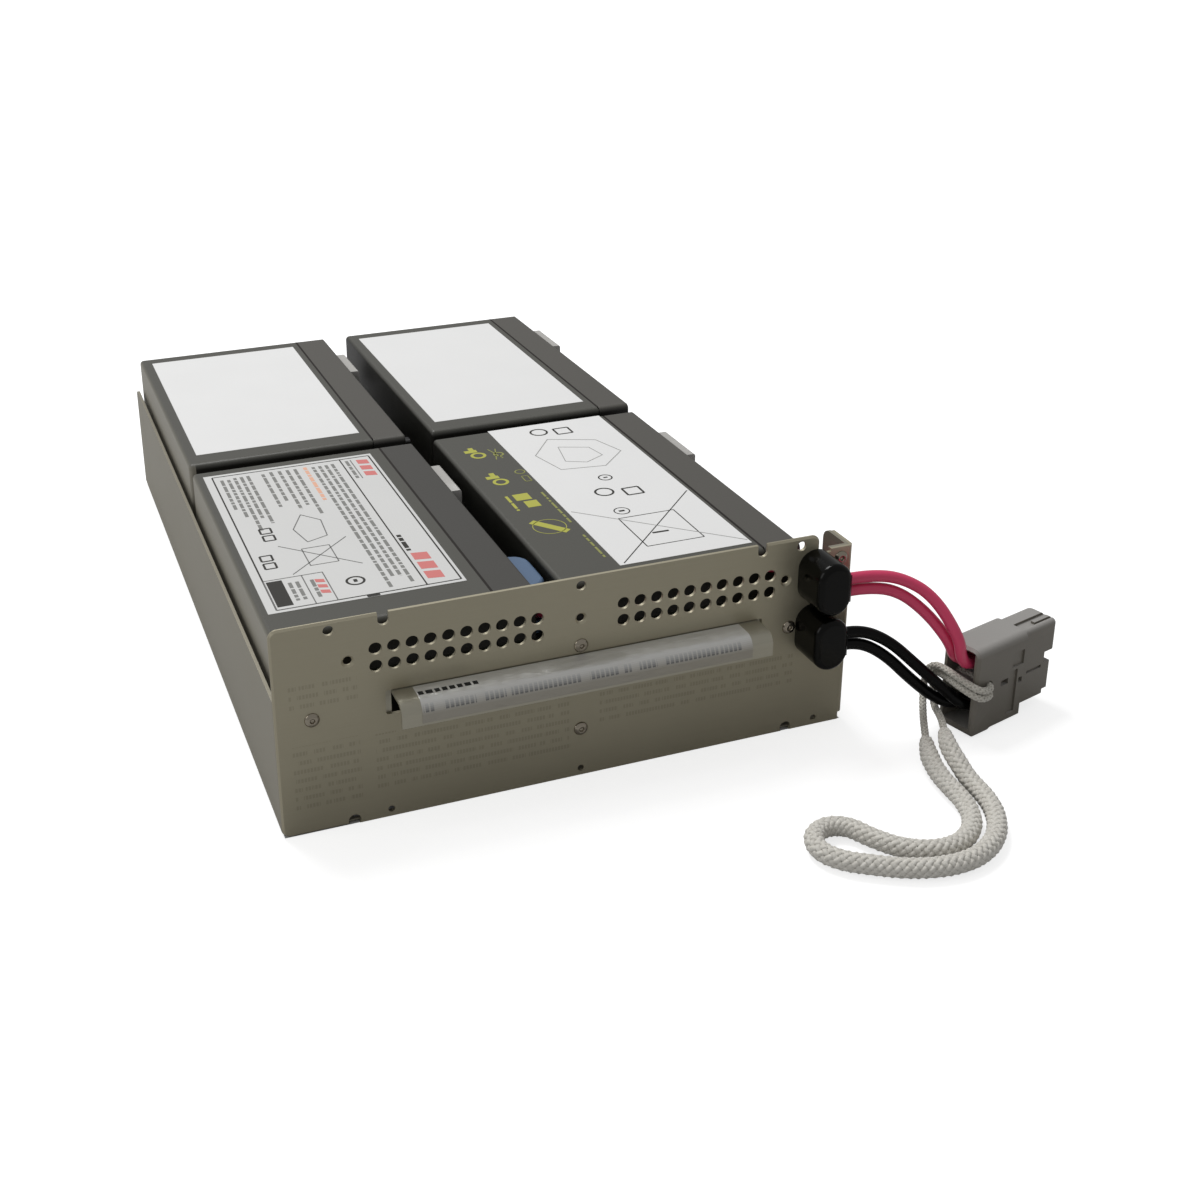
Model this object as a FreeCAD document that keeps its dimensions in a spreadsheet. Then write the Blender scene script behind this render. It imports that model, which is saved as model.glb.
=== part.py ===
"""Battery cartridge for an uninterruptible power supply, in millimetres.

A folded steel tray carries four sealed lead-acid batteries that lie on their sides, in two
columns of two. A perforated front panel closes the tray. A pull handle formed from an inner
plate comes out through a slot in that panel. Two bushings at the right end let out two red
and two black cables, which run to a two-pole connector with a pull rope on it.

Drawing frame: x to the right along the panel, y back from the panel's front face, z up from
the tray's underside. Every body is then moved so that the origin is at the bottom centre.
"""
import FreeCAD, Part
import math
import os
import Sketcher

V = FreeCAD.Vector

SIZES = {
    # Folded sheet of the tray, the panel and the handle plate
    "sheet": 1.2,
    "bend_inner": 0.8,
    "tray_depth": 327.0,
    "wall_height": 51.5,
    "wall_corner": 4.0,
    "lip_height": 14.0,
    "lip_inset": 4.0,
    "lip_relief": 3.0,
    "left_tab_width": 18.0,
    "left_tab_low": 8.0,
    "left_tab_high": 49.0,
    "ear_tab_height": 15.4,
    "ear_depth": 17.0,
    "stop_width": 26.0,
    "stop_height": 13.0,
    "stop_inset": 22.0,
    "stop_gap": 0.2,
    # Front panel outline
    "right_space": 12.1,
    "panel_over": 10.3,
    "panel_corner": 3.0,
    "ear_width": 14.0,
    "ear_tab_width": 9.3,
    "ear_down": 6.1,
    "ear_relief": 1.2,
    "return_depth": 13.5,
    "return_low": 3.0,
    # Front panel holes
    "vent_bore": 4.5,
    "vent_pitch": 6.27,
    "vent_count": 10,
    "vent_down": 12.6,
    "vent_row_pitch": 6.4,
    "vent_from_left": 34.7,
    "vent_from_right": 89.8,
    "centre_shift": 0.75,
    "top_hole_from_left": 19.5,
    "top_hole_from_right": 21.4,
    "notch_from_left": 37.8,
    "notch_from_right": 36.8,
    "ring_from_left": 25.4,
    "ring_from_right": 27.0,
    "top_hole_down": 3.1,
    "top_hole_bore": 3.6,
    "notch_width": 3.8,
    "notch_down": 2.7,
    "ring_down": 15.5,
    "ring_bore": 3.0,
    "ring_chamfer": 0.7,
    "foot_notch_from_left": 24.8,
    "foot_notch_from_right": 24.0,
    "foot_notch_bore": 4.4,
    "foot_notch_level": 1.4,
    "foot_hole_bore": 2.4,
    "foot_hole_level": 2.8,
    "foot_hole_from_left": 37.7,
    "foot_hole_from_right": 12.4,
    "slot_left": 37.4,
    "slot_from_right": 35.9,
    "slot_low": 39.6,
    "slot_corner": 1.0,
    # Handle plate and the hood formed out of it
    "plate_left": 22.0,
    "plate_from_right": 21.1,
    "plate_low": 13.0,
    "plate_high": 56.5,
    "plate_corner": 4.0,
    "window_low": 27.0,
    "hood_left": 39.6,
    "hood_from_right": 37.5,
    "hood_top": 48.4,
    "hood_reach": 11.5,
    "hood_drop": 8.4,
    "hood_bend": 3.2,
    "hood_play": 0.3,
    "foil": 0.15,
    "foil_left": 46.5,
    "foil_from_right": 45.5,
    "foil_start": 0.5,
    "foil_margin": 0.9,
    # Blind rivets
    "rivet_bore": 3.2,
    "rivet_head": 5.2,
    "rivet_rise": 1.1,
    "rivet_recess": 1.7,
    "rivet_tail": 4.4,
    "rivet_tail_length": 2.2,
    "rivet_crown": 1.7,
    "rivet_shoulder": 0.37,
    "rivet_pit": 0.28,
    "rivet_from_left": 12.4,
    "rivet_side_z": 43.0,
    "rivet_from_right": 24.9,
    "rivet_high_z": 51.7,
    "rivet_low_z": 18.9,
    "rivet_ear_from_right": 5.1,
    "rivet_ear_down": 10.3,
    # Batteries, lying on the side: length along y, case and lid along x, thickness along z
    "battery_length": 151.0,
    "battery_thick": 65.0,
    "case_deep": 79.0,
    "lid_deep": 15.0,
    "seam_gap": 0.6,
    "seam_inset": 0.6,
    "case_round": 2.4,
    "case_end_round": 1.7,
    "lid_round": 1.0,
    "front_space": 15.7,
    "middle_space": 7.7,
    "left_x": 2.9,
    "column_gap": 9.5,
    "back_shift": 2.2,
    "tape": 1.0,
    "tape_width": 30.0,
    "tape_inset": 20.0,
    "tape_margin": 3.0,
    "spacer_height": 38.0,
    "spacer_inset": 8.0,
    "spacer_width": 60.0,
    # Flat terminals and what covers them
    "blade_width": 6.35,
    "blade_thick": 0.8,
    "blade_length": 6.3,
    "blade_inset": 20.0,
    "blade_drop": 14.0,
    "pocket_depth": 0.8,
    "pocket_side": 12.0,
    "sleeve_reach": 6.9,
    "sleeve_width": 5.2,
    "sleeve_height": 9.4,
    "sleeve_wall": 0.3,
    "blade_play": 0.1,
    "boot_length": 26.0,
    "boot_reach": 7.4,
    "boot_rise": 12.2,
    "boot_drop": 7.0,
    "boot_socket": 5.0,
    "boot_side_round": 6.6,
    "boot_top_round": 1.5,
    "clip_length": 28.0,
    "clip_reach": 4.6,
    "clip_height": 13.0,
    "clip_wall": 1.4,
    "clip_drop": 1.2,
    "clip_end_low": 4.55,
    "clip_round": 1.0,
    "clip_from_end": 27.0,
    # Paper labels on the battery sides that face up
    "label": 0.15,
    "plain_label_width": 71.0,
    "plain_label_length": 131.0,
    "plain_label_inset": 5.0,
    "plain_label_front": 11.0,
    "text_label_width": 70.5,
    "text_label_length": 128.5,
    "text_label_inset": 3.4,
    "text_label_front": 15.8,
    "wide_label_inset": 25.0,
    "wide_label_width": 52.5,
    "wide_label_front": 7.0,
    "wide_label_length": 143.0,
    # Bushings that let the cables out to the right
    "bushing_from_right": 15.5,
    "bushing_down": 15.2,
    "bushing_pitch": 21.5,
    "bushing_width": 13.4,
    "bushing_height": 20.0,
    "bushing_reach": 15.0,
    "bushing_rim": 2.2,
    "bushing_neck_width": 9.6,
    "bushing_neck_height": 14.0,
    "bushing_tail": 2.4,
    "bushing_tail_width": 10.8,
    "bushing_tail_height": 15.0,
    "bushing_play": 0.1,
    "outlet_reach": 1.8,
    "outlet_height": 10.4,
    "outlet_depth": 6.0,
    "outlet_back": 8.0,
    "outlet_drop": 2.0,
    # Cables and leads
    "cable_bore": 4.3,
    "cable_spread": 4.7,
    "route_step": 1.0,
    # Connector, in its own frame: length from the cable end, thickness, height
    "plug_side": 36.2,
    "plug_y": -29.7,
    "plug_turn": 15.0,
    "plug_body": 27.0,
    "plug_length": 46.0,
    "plug_thick": 16.0,
    "plug_height": 35.2,
    "plug_top_round": 3.0,
    "plug_foot_round": 1.4,
    "plug_rim": 1.0,
    "plug_rim_length": 9.0,
    "plug_rim_rise": 0.8,
    "plug_side_cut": 0.6,
    "plug_nose_step": 4.4,
    "plug_nose_top": 0.8,
    "plug_nose_side": 1.4,
    "plug_nose_round": 1.8,
    "plug_end_round": 2.4,
    "plug_low_end": 2.8,
    "plug_toe": 2.6,
    "plug_toe_rise": 1.8,
    "key_start": 27.6,
    "key_near": 3.5,
    "key_far": 8.1,
    "key_depth": 0.9,
    "key_rib_start": 36.0,
    "key_rib_near": 4.6,
    "key_rib_far": 6.2,
    "grip_depth": 1.3,
    "pit_depth": 2.2,
    "pole_low": 9.6,
    "pole_pitch": 17.6,
    "cavity_depth": 12.0,
    "cavity_width": 12.0,
    "cavity_height": 13.4,
    "barrel_bore": 9.4,
    "barrel_depth": 12.0,
    "barrel_play": 0.1,
    "blade_slot_width": 8.4,
    "blade_slot_height": 3.6,
    "contact_length": 30.0,
    "notch_depth": 6.2,
    "notch_height": 4.4,
    "notch_level": 20.0,
    "string_hole_u": 7.0,
    "string_level": 18.4,
    "string_hole_width": 3.6,
    "string_hole_height": 6.6,
    # String and rope
    "string_bore": 2.8,
    "string_pitch": 2.9,
    "knot_round": 3.6,
    "rope_bore": 7.0,
}

doc = FreeCAD.newDocument("battery_cartridge")
sheet_cells = doc.addObject("Spreadsheet::Sheet", "sizes")
for row, (name, number) in enumerate(SIZES.items(), 1):
    sheet_cells.set(f"A{row}", name)
    sheet_cells.set(f"B{row}", str(number))
    sheet_cells.setAlias(f"B{row}", name)
doc.recompute()


class Size:
    """A length that carries both its number and the text that binds it to the sheet."""

    def __init__(self, number, text):
        self.number = float(number)
        self.text = text

    def __float__(self):
        return self.number

    def __add__(self, other):
        other = as_size(other)
        return Size(self.number + other.number, f"({self.text} + {other.text})")

    def __sub__(self, other):
        other = as_size(other)
        return Size(self.number - other.number, f"({self.text} - {other.text})")

    def __mul__(self, other):
        other = as_size(other)
        return Size(self.number * other.number, f"({self.text} * {other.text})")

    def __truediv__(self, other):
        other = as_size(other)
        return Size(self.number / other.number, f"({self.text} / {other.text})")

    def __neg__(self):
        return Size(-self.number, f"(0 - {self.text})")

    def __radd__(self, other):
        return as_size(other) + self

    def __rsub__(self, other):
        return as_size(other) - self

    def __rmul__(self, other):
        return as_size(other) * self


def as_size(value):
    """A plain number becomes a size without a cell."""
    if isinstance(value, Size):
        return value
    return Size(value, repr(float(value)))


class Sizes:
    """The sheet's cells by name."""

    def __getattr__(self, name):
        return Size(sheet_cells.get(name), f"sizes.{name}")


d = Sizes()
handed_in = []


def bind(thing, path, value):
    """Set a property and tie it to the sheet."""
    size = as_size(value)
    if path == "Occurrences":
        setattr(thing, path, round(size.number))
    elif "." not in path:
        setattr(thing, path, size.number)
    thing.setExpression(path, size.text)


def new_body(label):
    """An empty body whose label names its file."""
    body = doc.addObject("PartDesign::Body", label)
    body.Label = label
    return body


def finish(thing, extra=(0, 0, 0)):
    """Move a finished sub-part so that the origin is at the cartridge's bottom centre."""
    for axis, shift, own in zip("xyz", FRAME_SHIFT, extra):
        bind(thing, f"Placement.Base.{axis}", shift + own)
    handed_in.append(thing)
    return thing


def sketch_on(body, role, offset=0):
    """A sketch on one of the body's own origin planes, moved along that plane's normal."""
    plane = [item for item in body.Origin.OriginFeatures if item.Role == role][0]
    sketch = body.newObject("Sketcher::SketchObject", f"sketch_{body.Label}")
    sketch.AttachmentSupport = (plane, [""])
    sketch.MapMode = "FlatFace"
    sketch.AttachmentOffset = FreeCAD.Placement(V(0, 0, float(offset)), FreeCAD.Rotation())
    bind(sketch, "AttachmentOffset.Base.z", offset)
    return sketch


def constrain(sketch, kind, *what):
    """Add a dimension whose value follows the sheet."""
    *where, value = what
    size = as_size(value)
    index = sketch.addConstraint(Sketcher.Constraint(kind, *where, size.number))
    sketch.setExpression(f"Constraints[{index}]", size.text)


def polygon(sketch, points):
    """A closed outline of straight lines with each corner placed by two dimensions."""
    first = sketch.GeometryCount
    count = len(points)
    for i in range(count):
        start = points[i]
        end = points[(i + 1) % count]
        line = Part.LineSegment(V(float(start[0]), float(start[1]), 0), V(float(end[0]), float(end[1]), 0))
        sketch.addGeometry(line, False)
    for i in range(count):
        sketch.addConstraint(Sketcher.Constraint("Coincident", first + i, 2, first + (i + 1) % count, 1))
    for i, (x, y) in enumerate(points):
        constrain(sketch, "DistanceX", -1, 1, first + i, 1, x)
        constrain(sketch, "DistanceY", -1, 1, first + i, 1, y)
    return sketch


def rectangle(sketch, left, right, low, high):
    """A rectangle by its four limits."""
    return polygon(sketch, [(left, low), (right, low), (right, high), (left, high)])


def circle(sketch, x, y, bore):
    """A circle by its centre and its bore."""
    radius = as_size(bore) / 2
    index = sketch.addGeometry(Part.Circle(V(float(x), float(y), 0), V(0, 0, 1), float(radius)), False)
    constrain(sketch, "DistanceX", -1, 1, index, 3, x)
    constrain(sketch, "DistanceY", -1, 1, index, 3, y)
    constrain(sketch, "Radius", index, radius)
    return sketch


def upright_oval(sketch, x, y, width, height):
    """Two half circles joined by two upright lines."""
    radius = as_size(width) / 2
    reach = (as_size(height) - width) / 2
    top = y + reach
    low = y - reach
    first = sketch.GeometryCount
    left_x = float(x) - float(radius)
    right_x = float(x) + float(radius)
    upper = Part.Circle(V(float(x), float(top), 0), V(0, 0, 1), float(radius))
    lower = Part.Circle(V(float(x), float(low), 0), V(0, 0, 1), float(radius))
    sketch.addGeometry(Part.ArcOfCircle(upper, 0, math.pi), False)
    sketch.addGeometry(Part.LineSegment(V(left_x, float(top), 0), V(left_x, float(low), 0)), False)
    sketch.addGeometry(Part.ArcOfCircle(lower, math.pi, 2 * math.pi), False)
    sketch.addGeometry(Part.LineSegment(V(right_x, float(low), 0), V(right_x, float(top), 0)), False)
    for i in range(4):
        sketch.addConstraint(Sketcher.Constraint("Tangent", first + i, 2, first + (i + 1) % 4, 1))
    for index, level in ((first, top), (first + 2, low)):
        constrain(sketch, "DistanceX", -1, 1, index, 3, x)
        constrain(sketch, "DistanceY", -1, 1, index, 3, level)
        constrain(sketch, "Radius", index, radius)
    return sketch


def pad(body, sketch, length, back=False):
    """Material along the sketch's normal, or against it."""
    feature = body.newObject("PartDesign::Pad", f"pad_{body.Label}")
    feature.Profile = sketch
    feature.Reversed = back
    bind(feature, "Length", length)
    return feature


def pocket(body, sketch, depth=None, back=False):
    """A cut against the sketch's normal, or along it, to a depth or right through."""
    feature = body.newObject("PartDesign::Pocket", f"pocket_{body.Label}")
    feature.Profile = sketch
    feature.Reversed = back
    if depth is None:
        feature.Type = "ThroughAll"
    else:
        bind(feature, "Length", depth)
    return feature


def line_at(axis, x=None, y=None, z=None):
    """A test for straight edges along one axis at a given place."""
    wanted = {"x": x, "y": y, "z": z}

    def test(edge):
        box = edge.BoundBox
        spans = {"x": box.XLength, "y": box.YLength, "z": box.ZLength}
        middle = {"x": box.Center.x, "y": box.Center.y, "z": box.Center.z}
        if any(spans[key] > 0.001 for key in "xyz" if key != axis) or spans[axis] < 0.01:
            return False
        return all(value is None or abs(middle[key] - float(value)) < 0.01 for key, value in wanted.items())

    return test


def round_edges(body, radius, *tests, kind="PartDesign::Fillet"):
    """Round or bevel the edges of the body's last feature that pass one of the tests."""
    doc.recompute()
    base = body.Tip
    names = []
    for number, edge in enumerate(base.Shape.Edges, 1):
        if any(test(edge) for test in tests):
            names.append(f"Edge{number}")
    feature = body.newObject(kind, f"edges_{body.Label}")
    feature.Base = (base, names)
    bind(feature, "Radius" if kind.endswith("Fillet") else "Size", radius)
    return feature


# Levels and places that several pieces share
FLOOR_TOP = d.sheet
BATTERY_LOW = d.sheet + d.tape
BATTERY_TOP = BATTERY_LOW + d.battery_thick
FRONT_BATTERY_Y = d.front_space
BACK_BATTERY_Y = d.front_space + d.battery_length + d.middle_space
BATTERY_SPAN = d.case_deep + d.lid_deep
FRONT_RIGHT_X = d.left_x + BATTERY_SPAN + d.column_gap
BACK_RIGHT_X = FRONT_RIGHT_X + d.back_shift
PANEL_WIDTH = FRONT_RIGHT_X + BATTERY_SPAN + d.right_space
PANEL_HEIGHT = BATTERY_TOP + d.panel_over
TRAY_WIDTH = PANEL_WIDTH - d.sheet
MAIN_WIDTH = PANEL_WIDTH - d.ear_width
EAR_LEFT = PANEL_WIDTH - d.ear_tab_width
EAR_TOP = PANEL_HEIGHT - d.ear_down
EAR_TAB_LOW = EAR_TOP - d.ear_tab_height
CENTRE_X = PANEL_WIDTH / 2 + d.centre_shift
TOP_HOLE_Z = PANEL_HEIGHT - d.top_hole_down
NOTCH_Z = PANEL_HEIGHT - d.notch_down
NOTCHES = (d.notch_from_left, PANEL_WIDTH - d.notch_from_right)
SLOT_RIGHT = PANEL_WIDTH - d.slot_from_right
PLATE_RIGHT = PANEL_WIDTH - d.plate_from_right
HOOD_RIGHT = PANEL_WIDTH - d.hood_from_right
FRAME_SHIFT = (-(PANEL_WIDTH / 2), (d.bushing_reach - d.tray_depth) / 2, as_size(0))
EAR_RIVET = (PANEL_WIDTH - d.rivet_ear_from_right, PANEL_HEIGHT - d.rivet_ear_down)
RIVETS = (
    (d.rivet_from_left, d.rivet_side_z),
    (PANEL_WIDTH - d.rivet_from_right, d.rivet_side_z),
    (CENTRE_X, d.rivet_high_z),
    (CENTRE_X, d.rivet_low_z),
    EAR_RIVET,
)
BUSHING_X = PANEL_WIDTH - d.bushing_from_right
BUSHING_HIGH = PANEL_HEIGHT - d.bushing_down
BUSHING_LOW = BUSHING_HIGH - d.bushing_pitch
BUSHINGS = (("upper", BUSHING_HIGH), ("lower", BUSHING_LOW))
PLUG_X = PANEL_WIDTH + d.plug_side


def make_tray():
    """Tray folded from one sheet: floor, side walls, rear lip, front tabs and battery stops."""
    body = new_body("tray_pan")
    t = d.sheet
    depth = d.tray_depth - t
    wall = d.wall_height
    section = sketch_on(body, "XZ_Plane", -t)
    polygon(section, [(0, 0), (TRAY_WIDTH, 0), (TRAY_WIDTH, wall), (TRAY_WIDTH - t, wall),
                      (TRAY_WIDTH - t, t), (t, t), (t, wall), (0, wall)])
    pad(body, section, depth, back=True)

    lip = sketch_on(body, "XZ_Plane", -d.tray_depth)
    rectangle(lip, d.lip_inset, TRAY_WIDTH - d.lip_inset, 0, d.lip_height)
    pad(body, lip, t)
    fold = t + d.bend_inner
    round_edges(body, fold, line_at("y", x=0, z=0), line_at("y", x=TRAY_WIDTH, z=0))
    round_edges(body, d.bend_inner, line_at("y", x=t, z=t), line_at("y", x=TRAY_WIDTH - t, z=t))
    reliefs = sketch_on(body, "XY_Plane")
    rectangle(reliefs, 0, d.lip_inset, d.tray_depth - d.lip_relief, d.tray_depth)
    rectangle(reliefs, TRAY_WIDTH - d.lip_inset, TRAY_WIDTH, d.tray_depth - d.lip_relief, d.tray_depth)
    pocket(body, reliefs, fold, back=True)
    round_edges(body, fold, line_at("x", y=d.tray_depth, z=0))
    round_edges(body, d.bend_inner, line_at("x", y=d.tray_depth - t, z=t))
    round_edges(body, d.wall_corner, line_at("x", y=d.tray_depth, z=wall))

    left_tab = sketch_on(body, "XZ_Plane", -t)
    rectangle(left_tab, 0, d.left_tab_width, d.left_tab_low, d.left_tab_high)
    pad(body, left_tab, t, back=True)

    ear = sketch_on(body, "YZ_Plane", TRAY_WIDTH)
    rectangle(ear, t, d.ear_depth, wall - t, EAR_TOP)
    pad(body, ear, t, back=True)
    ear_tab = sketch_on(body, "XZ_Plane", -t)
    rectangle(ear_tab, EAR_LEFT, TRAY_WIDTH, EAR_TAB_LOW, EAR_TOP)
    pad(body, ear_tab, t, back=True)
    round_edges(body, d.wall_corner, line_at("x", y=d.ear_depth, z=EAR_TOP))
    relief = sketch_on(body, "XZ_Plane", -t)
    rectangle(relief, TRAY_WIDTH - t * 2, TRAY_WIDTH, EAR_TAB_LOW - t, EAR_TAB_LOW)
    pocket(body, relief, t * 2)
    round_edges(body, fold / 2, line_at("z", x=TRAY_WIDTH, y=t))

    for column_x in (d.left_x, FRONT_RIGHT_X):
        left = column_x + d.stop_inset
        stop = sketch_on(body, "XZ_Plane", d.stop_gap - d.front_space)
        rectangle(stop, left, left + d.stop_width, 0, d.stop_height + t)
        pad(body, stop, t)
        window = sketch_on(body, "XY_Plane")
        rectangle(window, left, left + d.stop_width, t * 2, d.front_space - d.stop_gap - t)
        pocket(body, window, back=True)

    holes = sketch_on(body, "XZ_Plane", -t)
    circle(holes, d.rivet_from_left, d.rivet_side_z, d.rivet_bore)
    circle(holes, *EAR_RIVET, d.rivet_bore)
    pocket(body, holes, t * 2)
    return finish(body)


def make_panel():
    """Front panel: one flat sheet, lower at its right ear, with a return flange there."""
    body = new_body("front_panel")
    t = d.sheet
    outline = sketch_on(body, "XZ_Plane")
    relief = EAR_TOP - d.ear_relief
    polygon(outline, [(0, 0), (PANEL_WIDTH, 0), (PANEL_WIDTH, EAR_TOP), (EAR_LEFT, EAR_TOP),
                      (EAR_LEFT, relief), (MAIN_WIDTH, relief), (MAIN_WIDTH, PANEL_HEIGHT),
                      (0, PANEL_HEIGHT)])
    pad(body, outline, t, back=True)
    flange = sketch_on(body, "XY_Plane", d.return_low)
    rectangle(flange, PANEL_WIDTH - t, PANEL_WIDTH, 0, d.return_depth)
    pad(body, flange, EAR_TOP - d.return_low)
    round_edges(body, d.panel_corner,
                line_at("y", x=0, z=0), line_at("y", x=0, z=PANEL_HEIGHT),
                line_at("y", x=MAIN_WIDTH, z=PANEL_HEIGHT))
    relief_cut = sketch_on(body, "XZ_Plane")
    rectangle(relief_cut, PANEL_WIDTH - t - d.bend_inner, PANEL_WIDTH, 0, d.return_low)
    pocket(body, relief_cut)
    round_edges(body, t + d.bend_inner, line_at("z", x=PANEL_WIDTH, y=0))
    round_edges(body, d.bend_inner, line_at("z", x=PANEL_WIDTH - t, y=t))

    vents = sketch_on(body, "XZ_Plane")
    high_row = PANEL_HEIGHT - d.vent_down
    for x in (d.vent_from_left, PANEL_WIDTH - d.vent_from_right):
        for z in (high_row, high_row - d.vent_row_pitch):
            circle(vents, x, z, d.vent_bore)
    first_vents = pocket(body, vents)
    doc.recompute()
    rows = body.newObject("PartDesign::LinearPattern", "vents")
    rows.Originals = [first_vents]
    rows.Direction = (vents, ["H_Axis"])
    bind(rows, "Length", d.vent_pitch * (d.vent_count - 1))
    bind(rows, "Occurrences", d.vent_count)
    body.Tip = rows

    slot = sketch_on(body, "XZ_Plane")
    rectangle(slot, d.slot_left, SLOT_RIGHT, d.slot_low, d.hood_top + d.hood_play)
    pocket(body, slot)
    corners = [line_at("y", x=x, z=z) for x in (d.slot_left, SLOT_RIGHT)
               for z in (d.slot_low, d.hood_top + d.hood_play)]
    round_edges(body, d.slot_corner, *corners)

    holes = sketch_on(body, "XZ_Plane")
    for x in (d.top_hole_from_left, CENTRE_X, PANEL_WIDTH - d.top_hole_from_right):
        circle(holes, x, TOP_HOLE_Z, d.top_hole_bore)
    for x in (d.ring_from_left, CENTRE_X, PANEL_WIDTH - d.ring_from_right):
        circle(holes, x, PANEL_HEIGHT - d.ring_down, d.ring_bore)
    for x in (d.foot_hole_from_left, CENTRE_X, PANEL_WIDTH - d.foot_hole_from_right):
        circle(holes, x, d.foot_hole_level, d.foot_hole_bore)
    for x, z in RIVETS:
        circle(holes, x, z, d.rivet_bore)
    pocket(body, holes)

    openings = sketch_on(body, "XZ_Plane")
    for x in NOTCHES:
        circle(openings, x, NOTCH_Z, d.notch_width)
    for x in (d.foot_notch_from_left, PANEL_WIDTH - d.foot_notch_from_right):
        circle(openings, x, d.foot_notch_level, d.foot_notch_bore)
    for _, z in BUSHINGS:
        upright_oval(openings, BUSHING_X, z, d.bushing_neck_width + d.bushing_play * 2,
                     d.bushing_neck_height + d.bushing_play * 2)
    pocket(body, openings)
    throats = sketch_on(body, "XZ_Plane")
    for middle in NOTCHES:
        rectangle(throats, middle - d.notch_width / 2, middle + d.notch_width / 2,
                  NOTCH_Z, PANEL_HEIGHT + t)
    pocket(body, throats)

    def ring_rim(edge):
        box = edge.BoundBox
        round_one = abs(box.XLength - float(d.ring_bore)) < 0.01 and abs(box.ZLength - float(d.ring_bore)) < 0.01
        return round_one and abs(box.Center.y) < 0.01

    round_edges(body, d.ring_chamfer, ring_rim, kind="PartDesign::Chamfer")
    return finish(body)


def make_handle_plate():
    """Handle plate behind the panel, with a tongue formed out through the slot as a hood."""
    body = new_body("handle_plate")
    t = d.sheet
    plate = sketch_on(body, "XZ_Plane", -t)
    rectangle(plate, d.plate_left, PLATE_RIGHT, d.plate_low, d.plate_high)
    pad(body, plate, t, back=True)
    window = sketch_on(body, "XZ_Plane", -t)
    rectangle(window, d.hood_left, HOOD_RIGHT, d.window_low, d.hood_top - t)
    pocket(body, window)
    tongue = sketch_on(body, "YZ_Plane", d.hood_left)
    out = -d.hood_reach
    low = d.hood_top - d.hood_drop
    polygon(tongue, [(t * 2, d.hood_top), (out, d.hood_top), (out, low), (out + t, low),
                     (out + t, d.hood_top - t), (t * 2, d.hood_top - t)])
    pad(body, tongue, HOOD_RIGHT - d.hood_left)
    round_edges(body, d.hood_bend + t, line_at("x", y=out, z=d.hood_top))
    round_edges(body, d.hood_bend, line_at("x", y=out + t, z=d.hood_top - t))
    round_edges(body, d.bend_inner, line_at("x", y=t * 2, z=d.hood_top - t))
    corners = [line_at("y", x=x, z=z) for x in (d.plate_left, PLATE_RIGHT) for z in (d.plate_low, d.plate_high)]
    corners += [line_at("y", x=x, z=d.window_low) for x in (d.hood_left, HOOD_RIGHT)]
    round_edges(body, d.plate_corner / 2, *corners)
    holes = sketch_on(body, "XZ_Plane", -t)
    for x, z in RIVETS[1:4]:
        circle(holes, x, z, d.rivet_bore)
    pocket(body, holes)
    return finish(body)


def make_foil():
    """Foil label that wraps the hood from its root over the bend and down its face."""
    body = new_body("handle_foil")
    profile = sketch_on(body, "YZ_Plane", d.foil_left)
    out = -d.hood_reach
    start = -d.foil_start
    low = d.hood_top - d.hood_drop + d.foil_margin
    polygon(profile, [(start, d.hood_top), (out, d.hood_top), (out, low), (out - d.foil, low),
                      (out - d.foil, d.hood_top + d.foil), (start, d.hood_top + d.foil)])
    pad(body, profile, PANEL_WIDTH - d.foil_from_right - d.foil_left)
    bend = d.hood_bend + d.sheet
    round_edges(body, bend, line_at("x", y=out, z=d.hood_top))
    round_edges(body, bend + d.foil, line_at("x", y=out - d.foil, z=d.hood_top + d.foil))
    return finish(body)


def make_rivets():
    """Blind rivets: domed head with a mandrel recess in front, a swelled tail behind."""
    one = new_body("rivet_form")
    head = d.rivet_head / 2
    hole = d.rivet_recess / 2
    shank = d.rivet_bore / 2
    tail = d.rivet_tail / 2
    grip = d.sheet * 2
    end = grip + d.rivet_tail_length
    profile = sketch_on(one, "XY_Plane")
    polygon(profile, [(0, -d.rivet_pit), (hole, -d.rivet_pit), (hole, -d.rivet_rise),
                      (d.rivet_crown, -d.rivet_rise), (head, -d.rivet_shoulder), (head, 0), (shank, 0),
                      (shank, grip), (tail, grip), (tail, end - tail / 2), (tail / 2, end), (0, end)])
    turned = one.newObject("PartDesign::Revolution", "turned")
    turned.Profile = profile
    turned.ReferenceAxis = (profile, ["V_Axis"])
    turned.Angle = 360
    doc.recompute()
    copies = []
    for number, (x, z) in enumerate(RIVETS, 1):
        copy = doc.addObject("App::Link", f"rivet_{number}")
        copy.LinkedObject = one
        copy.LinkTransform = False
        bind(copy, "Placement.Base.x", x)
        bind(copy, "Placement.Base.z", z)
        copies.append(copy)
    group = doc.addObject("Part::Compound", "panel_rivets")
    group.Label = "panel_rivets"
    group.Links = copies
    return finish(group)


def battery_places():
    """Each battery's name with its left side and its front end."""
    return (
        ("front_left", d.left_x, FRONT_BATTERY_Y),
        ("back_left", d.left_x, BACK_BATTERY_Y),
        ("front_right", FRONT_RIGHT_X, FRONT_BATTERY_Y),
        ("back_right", BACK_RIGHT_X, BACK_BATTERY_Y),
    )


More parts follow.
